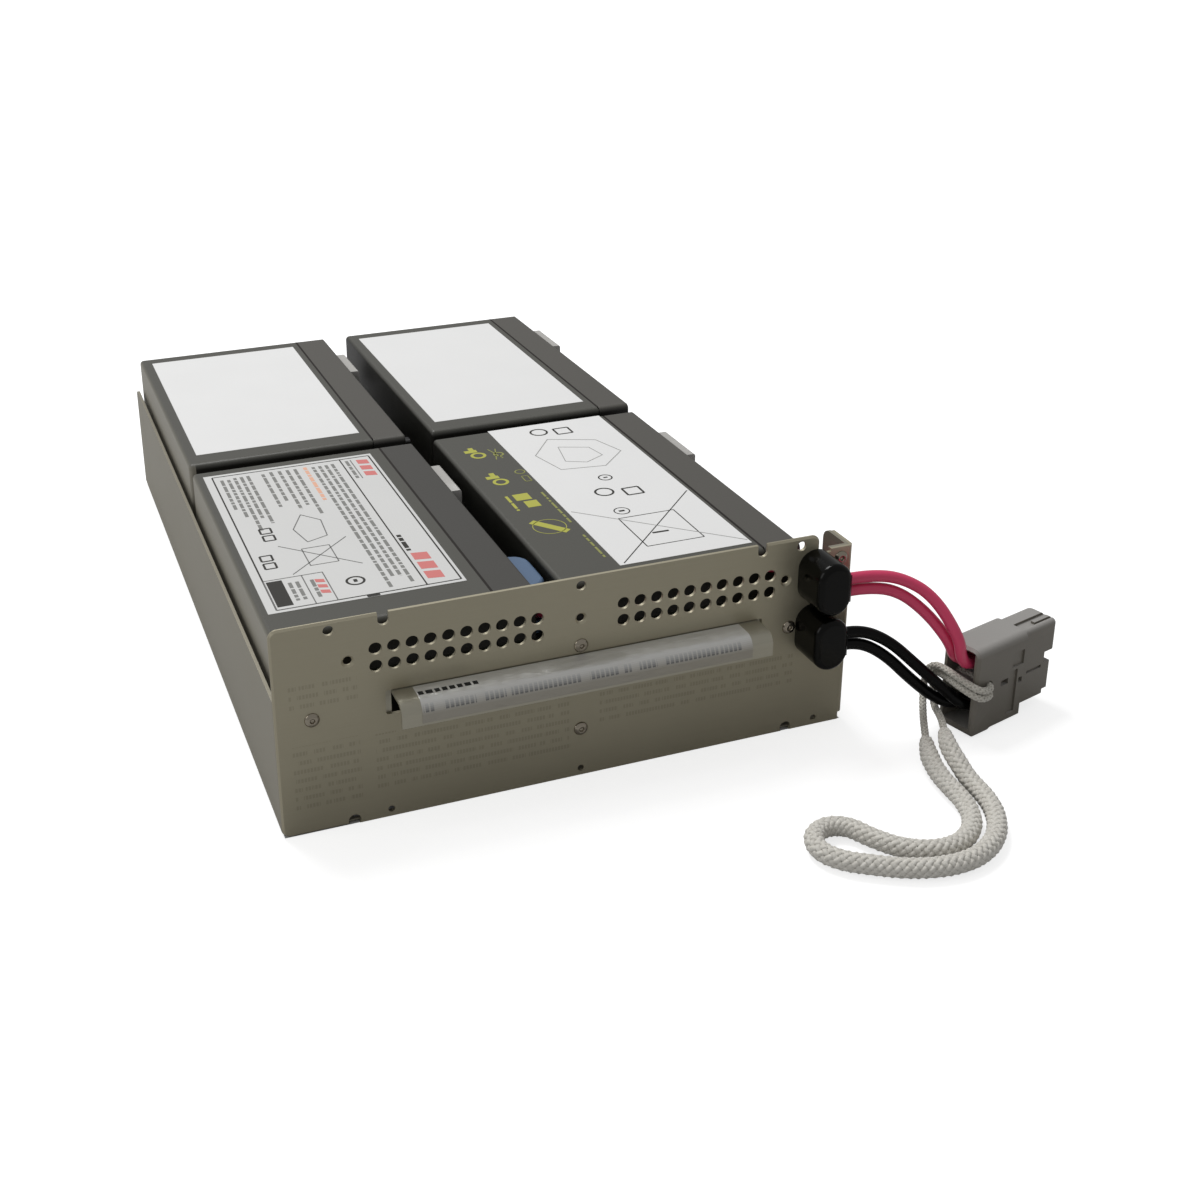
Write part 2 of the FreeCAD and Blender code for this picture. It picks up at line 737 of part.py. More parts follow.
def make_case(name, x, y):
    """Moulded battery case on its side, its bottom to the left and its open end to the right."""
    body = new_body(f"battery_case_{name}")
    length = d.battery_length
    outline = sketch_on(body, "YZ_Plane")
    rectangle(outline, 0, length, 0, d.battery_thick)
    pad(body, outline, d.case_deep)
    round_edges(body, d.case_round,
                line_at("x", y=0, z=0), line_at("x", y=0, z=d.battery_thick),
                line_at("x", y=length, z=0), line_at("x", y=length, z=d.battery_thick))
    round_edges(body, d.case_end_round, line_at("y", x=0, z=d.battery_thick), line_at("y", x=0, z=0))
    return finish(body, (x, y, BATTERY_LOW))


def make_lid(name, x, y):
    """Battery lid: a recessed weld seam, the lid block, a vent cover and two terminal pockets."""
    body = new_body(f"battery_lid_{name}")
    length = d.battery_length
    inset = d.seam_inset
    neck = sketch_on(body, "YZ_Plane")
    rectangle(neck, inset, length - inset, inset, d.battery_thick - inset)
    pad(body, neck, d.lid_deep - d.seam_gap)
    round_edges(body, d.case_round - inset,
                *[line_at("x", y=side_y, z=side_z) for side_y in (inset, length - inset)
                  for side_z in (inset, d.battery_thick - inset)])
    block = sketch_on(body, "YZ_Plane", d.seam_gap)
    rectangle(block, 0, length, 0, d.battery_thick)
    pad(body, block, d.lid_deep - d.seam_gap)
    round_edges(body, d.case_round,
                line_at("x", y=0, z=0), line_at("x", y=0, z=d.battery_thick),
                line_at("x", y=length, z=0), line_at("x", y=length, z=d.battery_thick))
    round_edges(body, d.lid_round, line_at("y", x=d.lid_deep, z=d.battery_thick),
                line_at("y", x=d.lid_deep, z=0))
    pockets = sketch_on(body, "YZ_Plane", d.lid_deep)
    level = d.battery_thick - d.blade_drop
    half = d.pocket_side / 2
    for middle in (d.blade_inset, length - d.blade_inset):
        rectangle(pockets, middle - half, middle + half, level - half, level + half)
    pocket(body, pockets, d.pocket_depth)
    return finish(body, (x + d.case_deep, y, BATTERY_LOW))


def make_terminals(name, x, y):
    """Two flat blades that stand out of the lid's pockets."""
    body = new_body(f"terminals_{name}")
    feet = sketch_on(body, "YZ_Plane", -d.pocket_depth)
    level = d.battery_thick - d.blade_drop
    for middle in (d.blade_inset, d.battery_length - d.blade_inset):
        rectangle(feet, middle - d.blade_thick / 2, middle + d.blade_thick / 2,
                  level - d.blade_width / 2, level + d.blade_width / 2)
    pad(body, feet, d.blade_length + d.pocket_depth)
    return finish(body, (x + BATTERY_SPAN, y, BATTERY_LOW))


def blade_slit(body):
    """The slit that a flat blade slides into."""
    slit = sketch_on(body, "YZ_Plane")
    rectangle(slit, -(d.blade_thick / 2 + d.blade_play), d.blade_thick / 2 + d.blade_play,
              -(d.blade_width / 2 + d.blade_play), d.blade_width / 2 + d.blade_play)
    pocket(body, slit, d.blade_length, back=True)


def make_sleeves():
    """The dark sleeves on seven of the eight blades."""
    one = new_body("sleeve_form")
    side = d.sleeve_width / 2
    rise = d.sleeve_height / 2
    outer = sketch_on(one, "YZ_Plane", d.sleeve_wall)
    rectangle(outer, -side, side, -rise, rise)
    pad(one, outer, d.sleeve_reach - d.sleeve_wall)
    blade_slit(one)
    round_edges(one, side / 2, *[line_at("x", y=y, z=z) for y in (side, -side) for z in (rise, -rise)])
    doc.recompute()
    copies = []
    for name, x, y in battery_places():
        for end, middle in (("a", d.blade_inset), ("b", d.battery_length - d.blade_inset)):
            if name == "front_left" and end == "a":
                continue
            copy = doc.addObject("App::Link", f"sleeve_{name}_{end}")
            copy.LinkedObject = one
            copy.LinkTransform = False
            bind(copy, "Placement.Base.x", x + BATTERY_SPAN)
            bind(copy, "Placement.Base.y", y + middle)
            bind(copy, "Placement.Base.z", BATTERY_LOW + d.battery_thick - d.blade_drop)
            copies.append(copy)
    group = doc.addObject("Part::Compound", "spade_sleeves")
    group.Label = "spade_sleeves"
    group.Links = copies
    return finish(group)


def make_boot():
    """Blue boot over the front blade of the left column, like a half disc from above."""
    body = new_body("terminal_boot")
    half = d.boot_length / 2
    far = d.boot_reach
    outer = sketch_on(body, "YZ_Plane", d.sleeve_wall)
    rectangle(outer, -half, half, -d.boot_drop, d.boot_rise)
    pad(body, outer, far - d.sleeve_wall)
    round_edges(body, d.boot_side_round, line_at("z", x=far, y=half), line_at("z", x=far, y=-half))

    def top_rim(edge):
        box = edge.BoundBox
        return box.ZLength < 0.01 and abs(box.Center.z - float(d.boot_rise)) < 0.01 and box.XLength > 0.5

    round_edges(body, d.boot_top_round, top_rim)
    blade_slit(body)
    socket = sketch_on(body, "XZ_Plane", half)
    circle(socket, (d.sleeve_reach + d.sleeve_wall) / 2, 0, d.cable_bore + d.blade_play * 2)
    pocket(body, socket, d.boot_socket)
    return finish(body, (d.left_x + BATTERY_SPAN, FRONT_BATTERY_Y + d.blade_inset,
                         BATTERY_LOW + d.battery_thick - d.blade_drop))


def make_cable_guard(name, x, y):
    """Moulded guard on the lid above the leads: back wall, roof and a folded front end."""
    body = new_body(f"lead_guard_{name}")
    roof = d.clip_height
    profile = sketch_on(body, "XZ_Plane")
    polygon(profile, [(0, 0), (d.clip_wall, 0), (d.clip_wall, roof - d.clip_wall),
                      (d.clip_reach, roof - d.clip_wall), (d.clip_reach, roof), (0, roof)])
    pad(body, profile, d.clip_length, back=True)
    end = sketch_on(body, "XZ_Plane")
    rectangle(end, 0, d.clip_reach, d.clip_end_low, roof)
    pad(body, end, d.clip_wall, back=True)
    round_edges(body, d.clip_round, line_at("y", x=d.clip_reach, z=roof))
    start_y = y + d.battery_length - d.clip_from_end - d.clip_length
    low_z = BATTERY_TOP - d.clip_drop - roof
    return finish(body, (x + BATTERY_SPAN, start_y, low_z))


def make_label(name, left, front, width, length):
    """A paper label on top of a battery."""
    body = new_body(name)
    outline = sketch_on(body, "XY_Plane")
    rectangle(outline, 0, width, 0, length)
    pad(body, outline, d.label)
    return finish(body, (left, front, BATTERY_TOP))


def make_labels():
    """Two plain labels at the back, a printed one in front on the left, a wide one on the right."""
    make_label("label_back_left", d.left_x + d.plain_label_inset, BACK_BATTERY_Y + d.plain_label_front,
               d.plain_label_width, d.plain_label_length)
    make_label("label_back_right", BACK_RIGHT_X + d.plain_label_inset, BACK_BATTERY_Y + d.plain_label_front,
               d.plain_label_width, d.plain_label_length)
    make_label("label_front_left", d.left_x + d.text_label_inset, FRONT_BATTERY_Y + d.text_label_front,
               d.text_label_width, d.text_label_length)
    make_label("label_front_right", FRONT_RIGHT_X + d.wide_label_inset, FRONT_BATTERY_Y + d.wide_label_front,
               d.wide_label_width, d.wide_label_length)


def make_box(name, left, front, low, width, length, height):
    """A plain block of foam or tape."""
    body = new_body(name)
    outline = sketch_on(body, "XY_Plane")
    rectangle(outline, 0, width, 0, length)
    pad(body, outline, height)
    return finish(body, (left, front, low))


def make_foam():
    """Tape under each column, and a spacer between the front and the back battery."""
    long = d.battery_length * 2 + d.middle_space - d.tape_margin
    for side, x in (("left", d.left_x), ("right", FRONT_RIGHT_X)):
        make_box(f"foam_tape_{side}", x + d.tape_inset, FRONT_BATTERY_Y, FLOOR_TOP, d.tape_width, long, d.tape)
        make_box(f"foam_spacer_{side}", x + d.spacer_inset, FRONT_BATTERY_Y + d.battery_length,
                 BATTERY_LOW, d.spacer_width, d.middle_space, d.spacer_height)


def make_bushing(name, z):
    """Side-outlet cable bushing: oval head in front, neck through the panel, tail behind."""
    body = new_body(f"bushing_{name}")
    x = BUSHING_X
    head = sketch_on(body, "XZ_Plane")
    upright_oval(head, x, z, d.bushing_width, d.bushing_height)
    pad(body, head, d.bushing_reach)
    doc.recompute()
    round_edges(body, d.bushing_rim, lambda edge: abs(edge.BoundBox.YMax + float(d.bushing_reach)) < 0.01)
    outlet = sketch_on(body, "YZ_Plane", x + d.bushing_width / 2 - d.outlet_reach)
    half = d.outlet_depth / 2
    middle = z - d.outlet_drop
    rectangle(outlet, -d.outlet_back - half, half - d.outlet_back,
              middle - d.outlet_height / 2, middle + d.outlet_height / 2)
    pad(body, outlet, d.outlet_reach * 2)
    neck = sketch_on(body, "XZ_Plane")
    upright_oval(neck, x, z, d.bushing_neck_width, d.bushing_neck_height)
    pad(body, neck, d.sheet, back=True)
    tail = sketch_on(body, "XZ_Plane", -d.sheet)
    upright_oval(tail, x, z, d.bushing_tail_width, d.bushing_tail_height)
    pad(body, tail, d.bushing_tail, back=True)
    return finish(body)


def make_plug():
    """Two-pole connector housing on its narrow side: body, stepped nose, cavities and string hole."""
    body = new_body("connector_housing")
    wide = d.plug_thick
    tall = d.plug_height
    block = sketch_on(body, "XZ_Plane")
    rectangle(block, 0, d.plug_body, 0, tall)
    pad(body, block, wide, back=True)
    round_edges(body, d.plug_top_round, line_at("x", y=0, z=tall), line_at("x", y=wide, z=tall))
    round_edges(body, d.plug_foot_round, line_at("x", y=0, z=0), line_at("x", y=wide, z=0))
    round_edges(body, d.plug_rim, line_at("z", x=0, y=0), kind="PartDesign::Chamfer")

    nose = sketch_on(body, "XZ_Plane", -d.plug_nose_side)
    low_end = d.plug_length - d.plug_low_end
    toe = d.plug_nose_step + d.plug_toe_rise
    notch_end = d.plug_length - d.notch_depth
    notch_low = d.notch_level - d.notch_height / 2
    notch_high = d.notch_level + d.notch_height / 2
    top = tall - d.plug_nose_top
    polygon(nose, [(d.plug_body, d.plug_nose_step), (low_end - d.plug_toe, d.plug_nose_step),
                   (low_end - d.plug_toe, toe), (low_end, toe), (low_end, notch_low), (notch_end, notch_low),
                   (notch_end, notch_high), (d.plug_length, notch_high), (d.plug_length, top),
                   (d.plug_body, top)])
    pad(body, nose, wide - d.plug_nose_side * 2, back=True)
    far = wide - d.plug_nose_side
    round_edges(body, d.plug_end_round, line_at("z", x=d.plug_length, y=d.plug_nose_side),
                line_at("z", x=d.plug_length, y=far))
    round_edges(body, d.plug_nose_round, line_at("x", y=d.plug_nose_side, z=top))

    cut_poles(body)
    cut_sides(body)
    hole = sketch_on(body, "XZ_Plane")
    upright_oval(hole, d.string_hole_u, d.string_level, d.string_hole_width, d.string_hole_height)
    pocket(body, hole)
    foot = sketch_on(body, "XZ_Plane")
    polygon(foot, [(d.plug_rim_length, 0), (d.plug_body, 0), (d.plug_body, d.plug_rim_rise),
                   (d.plug_rim_length + d.plug_rim_rise * 2, d.plug_rim_rise)])
    pocket(body, foot)
    key = sketch_on(body, "XY_Plane", top)
    rectangle(key, d.key_start, d.plug_length, d.key_rib_far, d.key_far)
    rectangle(key, d.key_start, d.plug_length, d.key_near, d.key_rib_near)
    rectangle(key, d.key_start, d.key_rib_start, d.key_rib_near, d.key_rib_far)
    pocket(body, key, d.key_depth)
    turn_plug(body)
    return finish(body, (PLUG_X, d.plug_y, 0))


def cut_poles(body):
    """Square mouths for the cables, round bores for the barrels and slots for the blades."""
    cavities = sketch_on(body, "YZ_Plane")
    barrels = sketch_on(body, "YZ_Plane", d.cavity_depth)
    slots = sketch_on(body, "YZ_Plane", d.plug_length)
    middle = d.plug_thick / 2
    for z in (d.pole_low, d.pole_low + d.pole_pitch):
        rectangle(cavities, middle - d.cavity_width / 2, middle + d.cavity_width / 2,
                  z - d.cavity_height / 2, z + d.cavity_height / 2)
        circle(barrels, middle, z, d.barrel_bore + d.barrel_play * 2)
        rectangle(slots, middle - d.blade_slot_width / 2, middle + d.blade_slot_width / 2,
                  z - d.blade_slot_height / 2, z + d.blade_slot_height / 2)
    pocket(body, cavities, d.cavity_depth, back=True)
    pocket(body, barrels, d.barrel_depth, back=True)
    pocket(body, slots, d.plug_length - d.cavity_depth - d.barrel_depth)


# Hollows in each side of the connector: left and right edge as shares of its length, low and
# high edge as shares of its height
GRIPS = ((0.424, 0.513, 0.091, 0.597), (0.439, 0.578, 0.631, 0.801))
PITS = ((0.317, 0.404, 0.466, 0.534), (0.535, 0.578, 0.415, 0.477), (0.652, 0.835, 0.46, 0.494))


def cut_sides(body):
    """A shallow cut behind the rim, two deeper grips and three small pits, alike on both sides."""
    grown = d.plug_height - d.plug_top_round
    for side_y, back in ((0, False), (d.plug_thick, True)):
        side = sketch_on(body, "XZ_Plane", -side_y)
        rectangle(side, d.plug_rim_length, d.plug_body, 0, grown)
        pocket(body, side, d.plug_side_cut, back=back)
        for hollows, depth in ((GRIPS, d.grip_depth), (PITS, d.pit_depth)):
            marks = sketch_on(body, "XZ_Plane", -side_y)
            for left, right, low, high in hollows:
                rectangle(marks, d.plug_length * left, d.plug_length * right,
                          d.plug_height * low, d.plug_height * high)
            pocket(body, marks, depth, back=back)


def turn_plug(thing):
    """Turn a piece of the connector about the upright through its near lower corner."""
    thing.Placement = FreeCAD.Placement(V(), FreeCAD.Rotation(V(0, 0, 1), float(d.plug_turn)))


def make_contact(name, z):
    """Crimp barrel with a flat blade that runs into the nose."""
    body = new_body(f"contact_{name}")
    middle = d.plug_thick / 2
    barrel = sketch_on(body, "YZ_Plane", d.cavity_depth)
    circle(barrel, middle, z, d.barrel_bore)
    pad(body, barrel, d.barrel_depth)
    blade = sketch_on(body, "YZ_Plane", d.cavity_depth + d.barrel_depth / 2)
    half = d.blade_slot_width / 2 - d.barrel_play
    rise = d.blade_slot_height / 2 - d.barrel_play
    rectangle(blade, middle - half, middle + half, z - rise, z + rise)
    pad(body, blade, d.contact_length - d.barrel_depth / 2)
    turn_plug(body)
    return finish(body, (PLUG_X, d.plug_y, 0))


def plug_point(u, v, z):
    """A place in the connector's own frame, given in the drawing frame."""
    turn = math.radians(float(d.plug_turn))
    x = float(PLUG_X) + float(u) * math.cos(turn) - float(v) * math.sin(turn)
    y = float(d.plug_y) + float(u) * math.sin(turn) + float(v) * math.cos(turn)
    return V(x, y, float(z))


def free_shape(label, shape, own=FreeCAD.Placement()):
    """A solid made directly from its own geometry, moved into the cartridge's frame."""
    thing = doc.addObject("Part::Feature", label)
    thing.Label = label
    thing.Shape = shape
    frame = FreeCAD.Placement(V(*[float(shift) for shift in FRAME_SHIFT]), FreeCAD.Rotation())
    thing.Placement = frame.multiply(own)
    handed_in.append(thing)
    return thing


# How much of the shorter run beside a corner its arc takes
ARC_SHARE = 0.45


def steps_from(origin, offsets):
    """Places on a route, counted from one origin in route steps."""
    step = float(d.route_step)
    return [V(*[float(value) for value in origin]) + V(*offset) * step for offset in offsets]


def cord(label, bore, points):
    """A round cord along straight runs joined by arcs as large as the runs allow."""
    radius = float(bore) / 2
    edges = []
    radii = []
    start = points[0]
    for before, here, after in zip(points, points[1:], points[2:]):
        into = (here - before).normalize()
        out = (after - here).normalize()
        half_turn = into.getAngle(out) / 2
        shorter = min((here - before).Length, (after - here).Length)
        reach = ARC_SHARE * shorter
        bend = reach / math.tan(half_turn)
        radii.append(bend)
        arc_start = here - into * reach
        arc_end = here + out * reach
        towards = (out - into).normalize()
        middle = here + towards * (bend / math.cos(half_turn) - bend)
        edges.append(Part.LineSegment(start, arc_start).toShape())
        edges.append(Part.Arc(arc_start, middle, arc_end).toShape())
        start = arc_end
    edges.append(Part.LineSegment(start, points[-1]).toShape())
    path = Part.Wire(edges)
    length = path.Length
    direction = points[1] - points[0]
    face = Part.Face(Part.Wire(Part.Circle(points[0], direction, radius).toShape()))
    solid = path.makePipe(face)
    expected = math.pi * radius ** 2 * length
    print(f"{label}: length {length:.1f}, volume ratio {solid.Volume / expected:.4f}, "
          f"smallest radius {min(radii):.1f}")
    return free_shape(label, solid)


def make_cables():
    """Two red and two black cables from the bushings' outlets to the connector."""
    x = float(BUSHING_X + d.bushing_width / 2 + d.outlet_reach)
    y = -float(d.outlet_back)
    half = float(d.cable_spread) / 2
    high = float(BUSHING_HIGH - d.outlet_drop)
    low = float(BUSHING_LOW - d.outlet_drop)
    red_z = float(d.pole_low + d.pole_pitch)
    black_z = float(d.pole_low)
    side = float(d.cable_bore + d.barrel_play) / 2
    near = float(d.plug_thick) / 2 - side
    far = float(d.plug_thick) / 2 + side
    end = float(d.cavity_depth)

    def to_pole(v, z, places):
        step = float(d.route_step)
        return [plug_point(u * step, v, z + rise * step) for u, rise in places] + [plug_point(end, v, z)]

    cord("cable_red_1", d.cable_bore,
         steps_from((x, y, high + half), [(0, 0, 0), (9, 0, 0), (21, -2.6, -2.05), (31.1, -8.2, -8.65)])
         + to_pole(near, red_z, [(-5, 13.4), (-3.2, 4.6), (1.6, 0)]))
    cord("cable_red_2", d.cable_bore,
         steps_from((x, y, high - half), [(0, 0, 0), (8, 0, 0), (19.5, -2.4, -2.15), (29.1, -7.2, -10.35)])
         + to_pole(far, red_z, [(-5, 10.4), (-1.6, 3.2), (3.6, 0)]))
    cord("cable_black_1", d.cable_bore,
         steps_from((x, y, low + half), [(0, 0, 0), (7, 0, 0), (17.5, -3, -5.15), (26, -8, -13.85),
                                         (33.9, -13, -21.95)])
         + to_pole(near, black_z, [(-0.9, 2.7), (5.6, 0)]))
    cord("cable_black_2", d.cable_bore,
         steps_from((x, y, low - half), [(0, 0, 0), (6.3, 0, 0), (16, -2.8, -5.65), (25.5, -7.4, -16.05),
                                         (33.8, -10, -23.45)])
         + to_pole(far, black_z, [(-0.6, 0.8), (6, 0)]))


def make_leads():
    """Inner leads from the batteries to the bushings, and a jumper in each column."""
    bore = d.cable_bore
    blade_z = float(BATTERY_LOW + d.battery_thick - d.blade_drop)
    middle_reach = (d.sleeve_reach + d.sleeve_wall) / 2
    left = float(d.left_x + BATTERY_SPAN + middle_reach)
    right = float(FRONT_RIGHT_X + BATTERY_SPAN + middle_reach)
    back = float(BACK_RIGHT_X + BATTERY_SPAN + middle_reach)
    half_sleeve = float(d.sleeve_width) / 2
    front_blade = float(FRONT_BATTERY_Y + d.blade_inset)
    front_rear_blade = float(FRONT_BATTERY_Y + d.battery_length - d.blade_inset)
    back_front_blade = float(BACK_BATTERY_Y + d.blade_inset)
    back_blade = float(BACK_BATTERY_Y + d.battery_length - d.blade_inset)
    tail_y = float(d.sheet + d.bushing_tail)
    bush = float(BUSHING_X)
    high = float(BUSHING_HIGH)
    low = float(BUSHING_LOW)
    apart = float(d.cable_spread) / 2

    def into_bushing(z, places):
        return steps_from((bush, tail_y, z), places + [(0, 5.6, 0), (0, 0, 0)])

    socket = front_blade - float(d.boot_length) / 2 + float(d.boot_socket)
    cord("lead_red_left", bore,
         steps_from((left, socket, blade_z), [(0, 0, 0), (0, -7, 0), (2.4, -14.3, 1.6), (10, -16.7, 3.8),
                                              (26, -15.5, 5.2)])
         + into_bushing(high - apart, [(-47, 7.4, -1.65), (-23, 8.7, -2.45), (-11, 9, -0.65), (-4.2, 8.7, 0)]))
    down_the_gap = [(0, -9.4, 0), (0.3, -19.4, -9), (-0.3, -31.4, -19), (0.5, -55.4, -23), (-0.2, -101.4, -21.5),
                    (0.4, -147.4, -23), (-0.2, -193.4, -21.5)]
    cord("lead_black_left", bore,
         steps_from((left, back_blade - half_sleeve, blade_z), [(0, 0, 0)] + down_the_gap)
         + steps_from((left, front_blade, blade_z), [(0.3, 36.3, -23), (0, 6.3, -21.5), (0.6, -11.7, -20.4),
                                                     (3.6, -22.9, -19), (14, -24.3, -18)])
         + into_bushing(low - apart, [(-57, 8.7, -2.65), (-29, 7.4, -1.15), (-11, 8.8, -0.65), (-4.2, 8.6, 0)]))
    cord("lead_red_right", bore,
         steps_from((right, front_blade - half_sleeve, blade_z), [(0, 0, 0), (0, -6.8, 0), (0.8, -14.3, 3)])
         + into_bushing(high + apart, [(right - bush - 1.2, 9, -1.6)]))
    along_the_wall = [(0, -9.4, 0), (0.3, -19.4, -9), (0, -31.4, -19), (0.6, -55.4, -23), (0.1, -101.4, -21.5),
                      (0.6, -147.4, -23), (0.1, -193.4, -21.5)]
    cord("lead_black_right", bore,
         steps_from((back, back_blade - half_sleeve, blade_z), [(0, 0, 0)] + along_the_wall)
         + steps_from((back, front_blade, blade_z), [(0.6, 36.3, -23), (0.3, 8.3, -21), (-0.1, -7.7, -16)])
         + into_bushing(low + apart, [(8.7, 14, -0.6), (5.5, 8.8, 0)]))

    for name, start_x, end_x in (("left", left, left), ("right", right, back)):
        start_y = front_rear_blade + half_sleeve
        end_y = back_front_blade - half_sleeve
        middle = ((start_x + end_x) / 2, (start_y + end_y) / 2, blade_z)
        cord(f"jumper_{name}", bore,
             steps_from((start_x, start_y, blade_z), [(0, 0, 0), (0, 8, 0)])
             + steps_from(middle, [(0.3, 0, -3)])
             + steps_from((end_x, end_y, blade_z), [(0, -8, 0), (0, 0, 0)]))


# Where the two strings leave the rope's two ends, and each one's next place, all counted from
# the connector's lower corner
ROPE_END_LOW = (-21.1, -1.9, 5.6)
ROPE_END_HIGH = (-15.5, -4.5, 9.1)
NEXT_LOW = (-18.1, 3.9, 6.9)
NEXT_HIGH = (-12.5, 1.3, 9.5)


def plug_corner():
    """The connector's lower corner at its cable end."""
    return (PLUG_X, d.plug_y, as_size(0))


def make_pull_string():
    """Two strings from the rope's ends, behind the black cables, then through the connector."""
    level = float(d.string_level)
    half = float(d.string_pitch) / 2
    far = float(d.plug_thick)
    hole = float(d.string_hole_u)
    step = float(d.route_step)

    def through_hole(z):
        places = ((-1.8, -2.05, 0.05), (0.15, -0.05, 0.1), (0.25, 4.2, 0), (0.05, 8.2, 0.1), (0.1, 12.3, 0.05))
        run = [plug_point(hole + u * step, v * step, z + rise * step) for u, v, rise in places]
        return run + [plug_point(hole + 0.1 * step, far, z + 0.05 * step)]

    cord("pull_string_1", d.string_bore,
         steps_from(plug_corner(), [ROPE_END_LOW, NEXT_LOW, (-14.5, 10.1, 7.9), (-10.9, 16.1, 10.2),
                                    (-8.5, 19.5, 15), (-8, 19.2, 20.8), (-6.5, 15.9, 24), (-5.4, 10.1, 24.1)])
         + [plug_point(u * step, v * step, z * step) for u, v, z in
            ((-2.9, 0.7, 22.7), (-0.3, -2.3, 21), (2.5, -2.1, 20.1))] + through_hole(level + half))
    cord("pull_string_2", d.string_bore,
         steps_from(plug_corner(), [ROPE_END_HIGH, NEXT_HIGH, (-9.7, 7.5, 8.6), (-7.5, 13.5, 7.8),
                                    (-5.1, 18.3, 10.6), (-4.5, 19.3, 15.6), (-5.8, 17.5, 20.5), (-5.4, 11.1, 21.1)])
         + [plug_point(u * step, v * step, z * step) for u, v, z in
            ((-2.9, 0.6, 19.5), (-0.4, -2.35, 17.8), (2.5, -2.15, 17.1))] + through_hole(level - half))
    ball = Part.makeSphere(float(d.knot_round))
    reach = float(d.knot_round) * 2
    behind = Part.makeBox(reach * 2, reach, reach * 2, V(-reach, 0, -reach))
    turn = FreeCAD.Rotation(V(0, 0, 1), float(d.plug_turn))
    free_shape("string_knot", ball.common(behind),
               FreeCAD.Placement(plug_point(hole + 0.1 * step, far, level), turn))


def rope_run(end, following, length):
    """A place inside the rope in line with the string that leaves its end."""
    heading = V(*following) - V(*end)
    inside = V(*end) - heading.normalize() * length
    return tuple(inside)


def make_rope():
    """Braided rope folded into a loop on the floor, its two ends at the two strings."""
    floor = float(d.rope_bore) / 2 / float(d.route_step) + 0.2
    flat = [
        (-27.1, -16.5), (-28.7, -26.3), (-29.1, -36.3), (-32.1, -45.7), (-38.1, -52.9), (-46.1, -56.7),
        (-55.1, -56.3), (-63.9, -51.3), (-69.7, -42.9), (-73.1, -35.1), (-80.3, -32.3), (-87.3, -35.9),
        (-89.1, -43.7), (-84.7, -50.7), (-77.3, -55.7), (-67.7, -61.5), (-55.7, -65.1), (-43.3, -64.5),
        (-31.9, -58.3), (-24.1, -47.9), (-20.7, -36.7), (-20.3, -26.9)]
    route = [ROPE_END_LOW, rope_run(ROPE_END_LOW, NEXT_LOW, 6.5)] + [(x, y, floor) for x, y in flat]
    route += [(-19.7, -18.1, 6.6), rope_run(ROPE_END_HIGH, NEXT_HIGH, 7.5), ROPE_END_HIGH]
    cord("pull_rope", d.rope_bore, steps_from(plug_corner(), route))


def check_and_write():
    """Stop on any failed object or shape, then write each sub-part."""
    doc.recompute()
    failed = [thing.Name for thing in doc.Objects if "Invalid" in thing.State or "Error" in thing.State]
    if failed:
        raise RuntimeError(f"failed: {failed}")
    os.makedirs("parts", exist_ok=True)
    for thing in handed_in:
        shape = thing.Shape
        if shape.isNull() or not shape.isValid() or shape.Volume <= 0:
            raise RuntimeError(f"{thing.Label} has no valid shape")
        shape.exportStep(f"parts/{thing.Label}.step")
    print(f"{len(handed_in)} sub-parts written")


make_tray()
make_panel()
make_handle_plate()
make_foil()
make_rivets()
for battery, left, front in battery_places():
    make_case(battery, left, front)
    make_lid(battery, left, front)
    make_terminals(battery, left, front)
    make_cable_guard(battery, left, front)
make_labels()
make_sleeves()
make_boot()
make_foam()
for bushing_name, level in BUSHINGS:
    make_bushing(bushing_name, level)
make_plug()
make_contact("red", d.pole_low + d.pole_pitch)
make_contact("black", d.pole_low)
make_cables()
make_leads()
make_pull_string()
make_rope()
check_and_write()
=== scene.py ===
# %% [markdown]
# A battery cartridge slides into a rack power supply: a steel tray with four sealed blocks lying
# flat, a perforated front with a pull handle, and cables to a two-pole connector. The CAD model
# gives every rigid piece in metres, so this scene starts by loading it as a fixed frame.

# %% Load the frame
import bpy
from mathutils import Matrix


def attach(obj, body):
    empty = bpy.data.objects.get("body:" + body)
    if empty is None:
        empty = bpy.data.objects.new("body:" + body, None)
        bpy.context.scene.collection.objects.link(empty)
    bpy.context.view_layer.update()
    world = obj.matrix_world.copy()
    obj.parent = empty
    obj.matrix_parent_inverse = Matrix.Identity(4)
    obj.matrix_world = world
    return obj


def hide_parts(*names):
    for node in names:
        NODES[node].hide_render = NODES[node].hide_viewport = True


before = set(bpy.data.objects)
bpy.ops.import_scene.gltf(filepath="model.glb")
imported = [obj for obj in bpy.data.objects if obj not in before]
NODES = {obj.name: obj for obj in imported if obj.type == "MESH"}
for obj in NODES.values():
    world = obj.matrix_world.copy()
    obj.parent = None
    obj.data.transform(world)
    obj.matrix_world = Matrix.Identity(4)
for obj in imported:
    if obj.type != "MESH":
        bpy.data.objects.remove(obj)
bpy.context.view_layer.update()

import math

import bmesh
import bpy
import numpy as np
from mathutils import Matrix, Vector

MM = 0.001

# %% [markdown]
# The drawing of the cartridge counts from the panel's lower left corner, in millimetres. Lengths
# written here count from the same corner, and a function moves them into the model's frame. Two
# more helpers put an object in the scene and close a mesh with its faces turned outward.

# %% Places and meshes
PANEL_WIDTH = 212.5
MIDDLE_DEPTH = 156.0


def at(x, y, z):
    """A place counted from the panel's lower left corner, in the model's metres."""
    return Vector(((x - PANEL_WIDTH / 2) * MM, (y - MIDDLE_DEPTH) * MM, z * MM))


def linked(name, data):
    """A new object with this data, put in the scene."""
    piece = bpy.data.objects.new(name, data)
    bpy.context.scene.collection.objects.link(piece)
    return piece


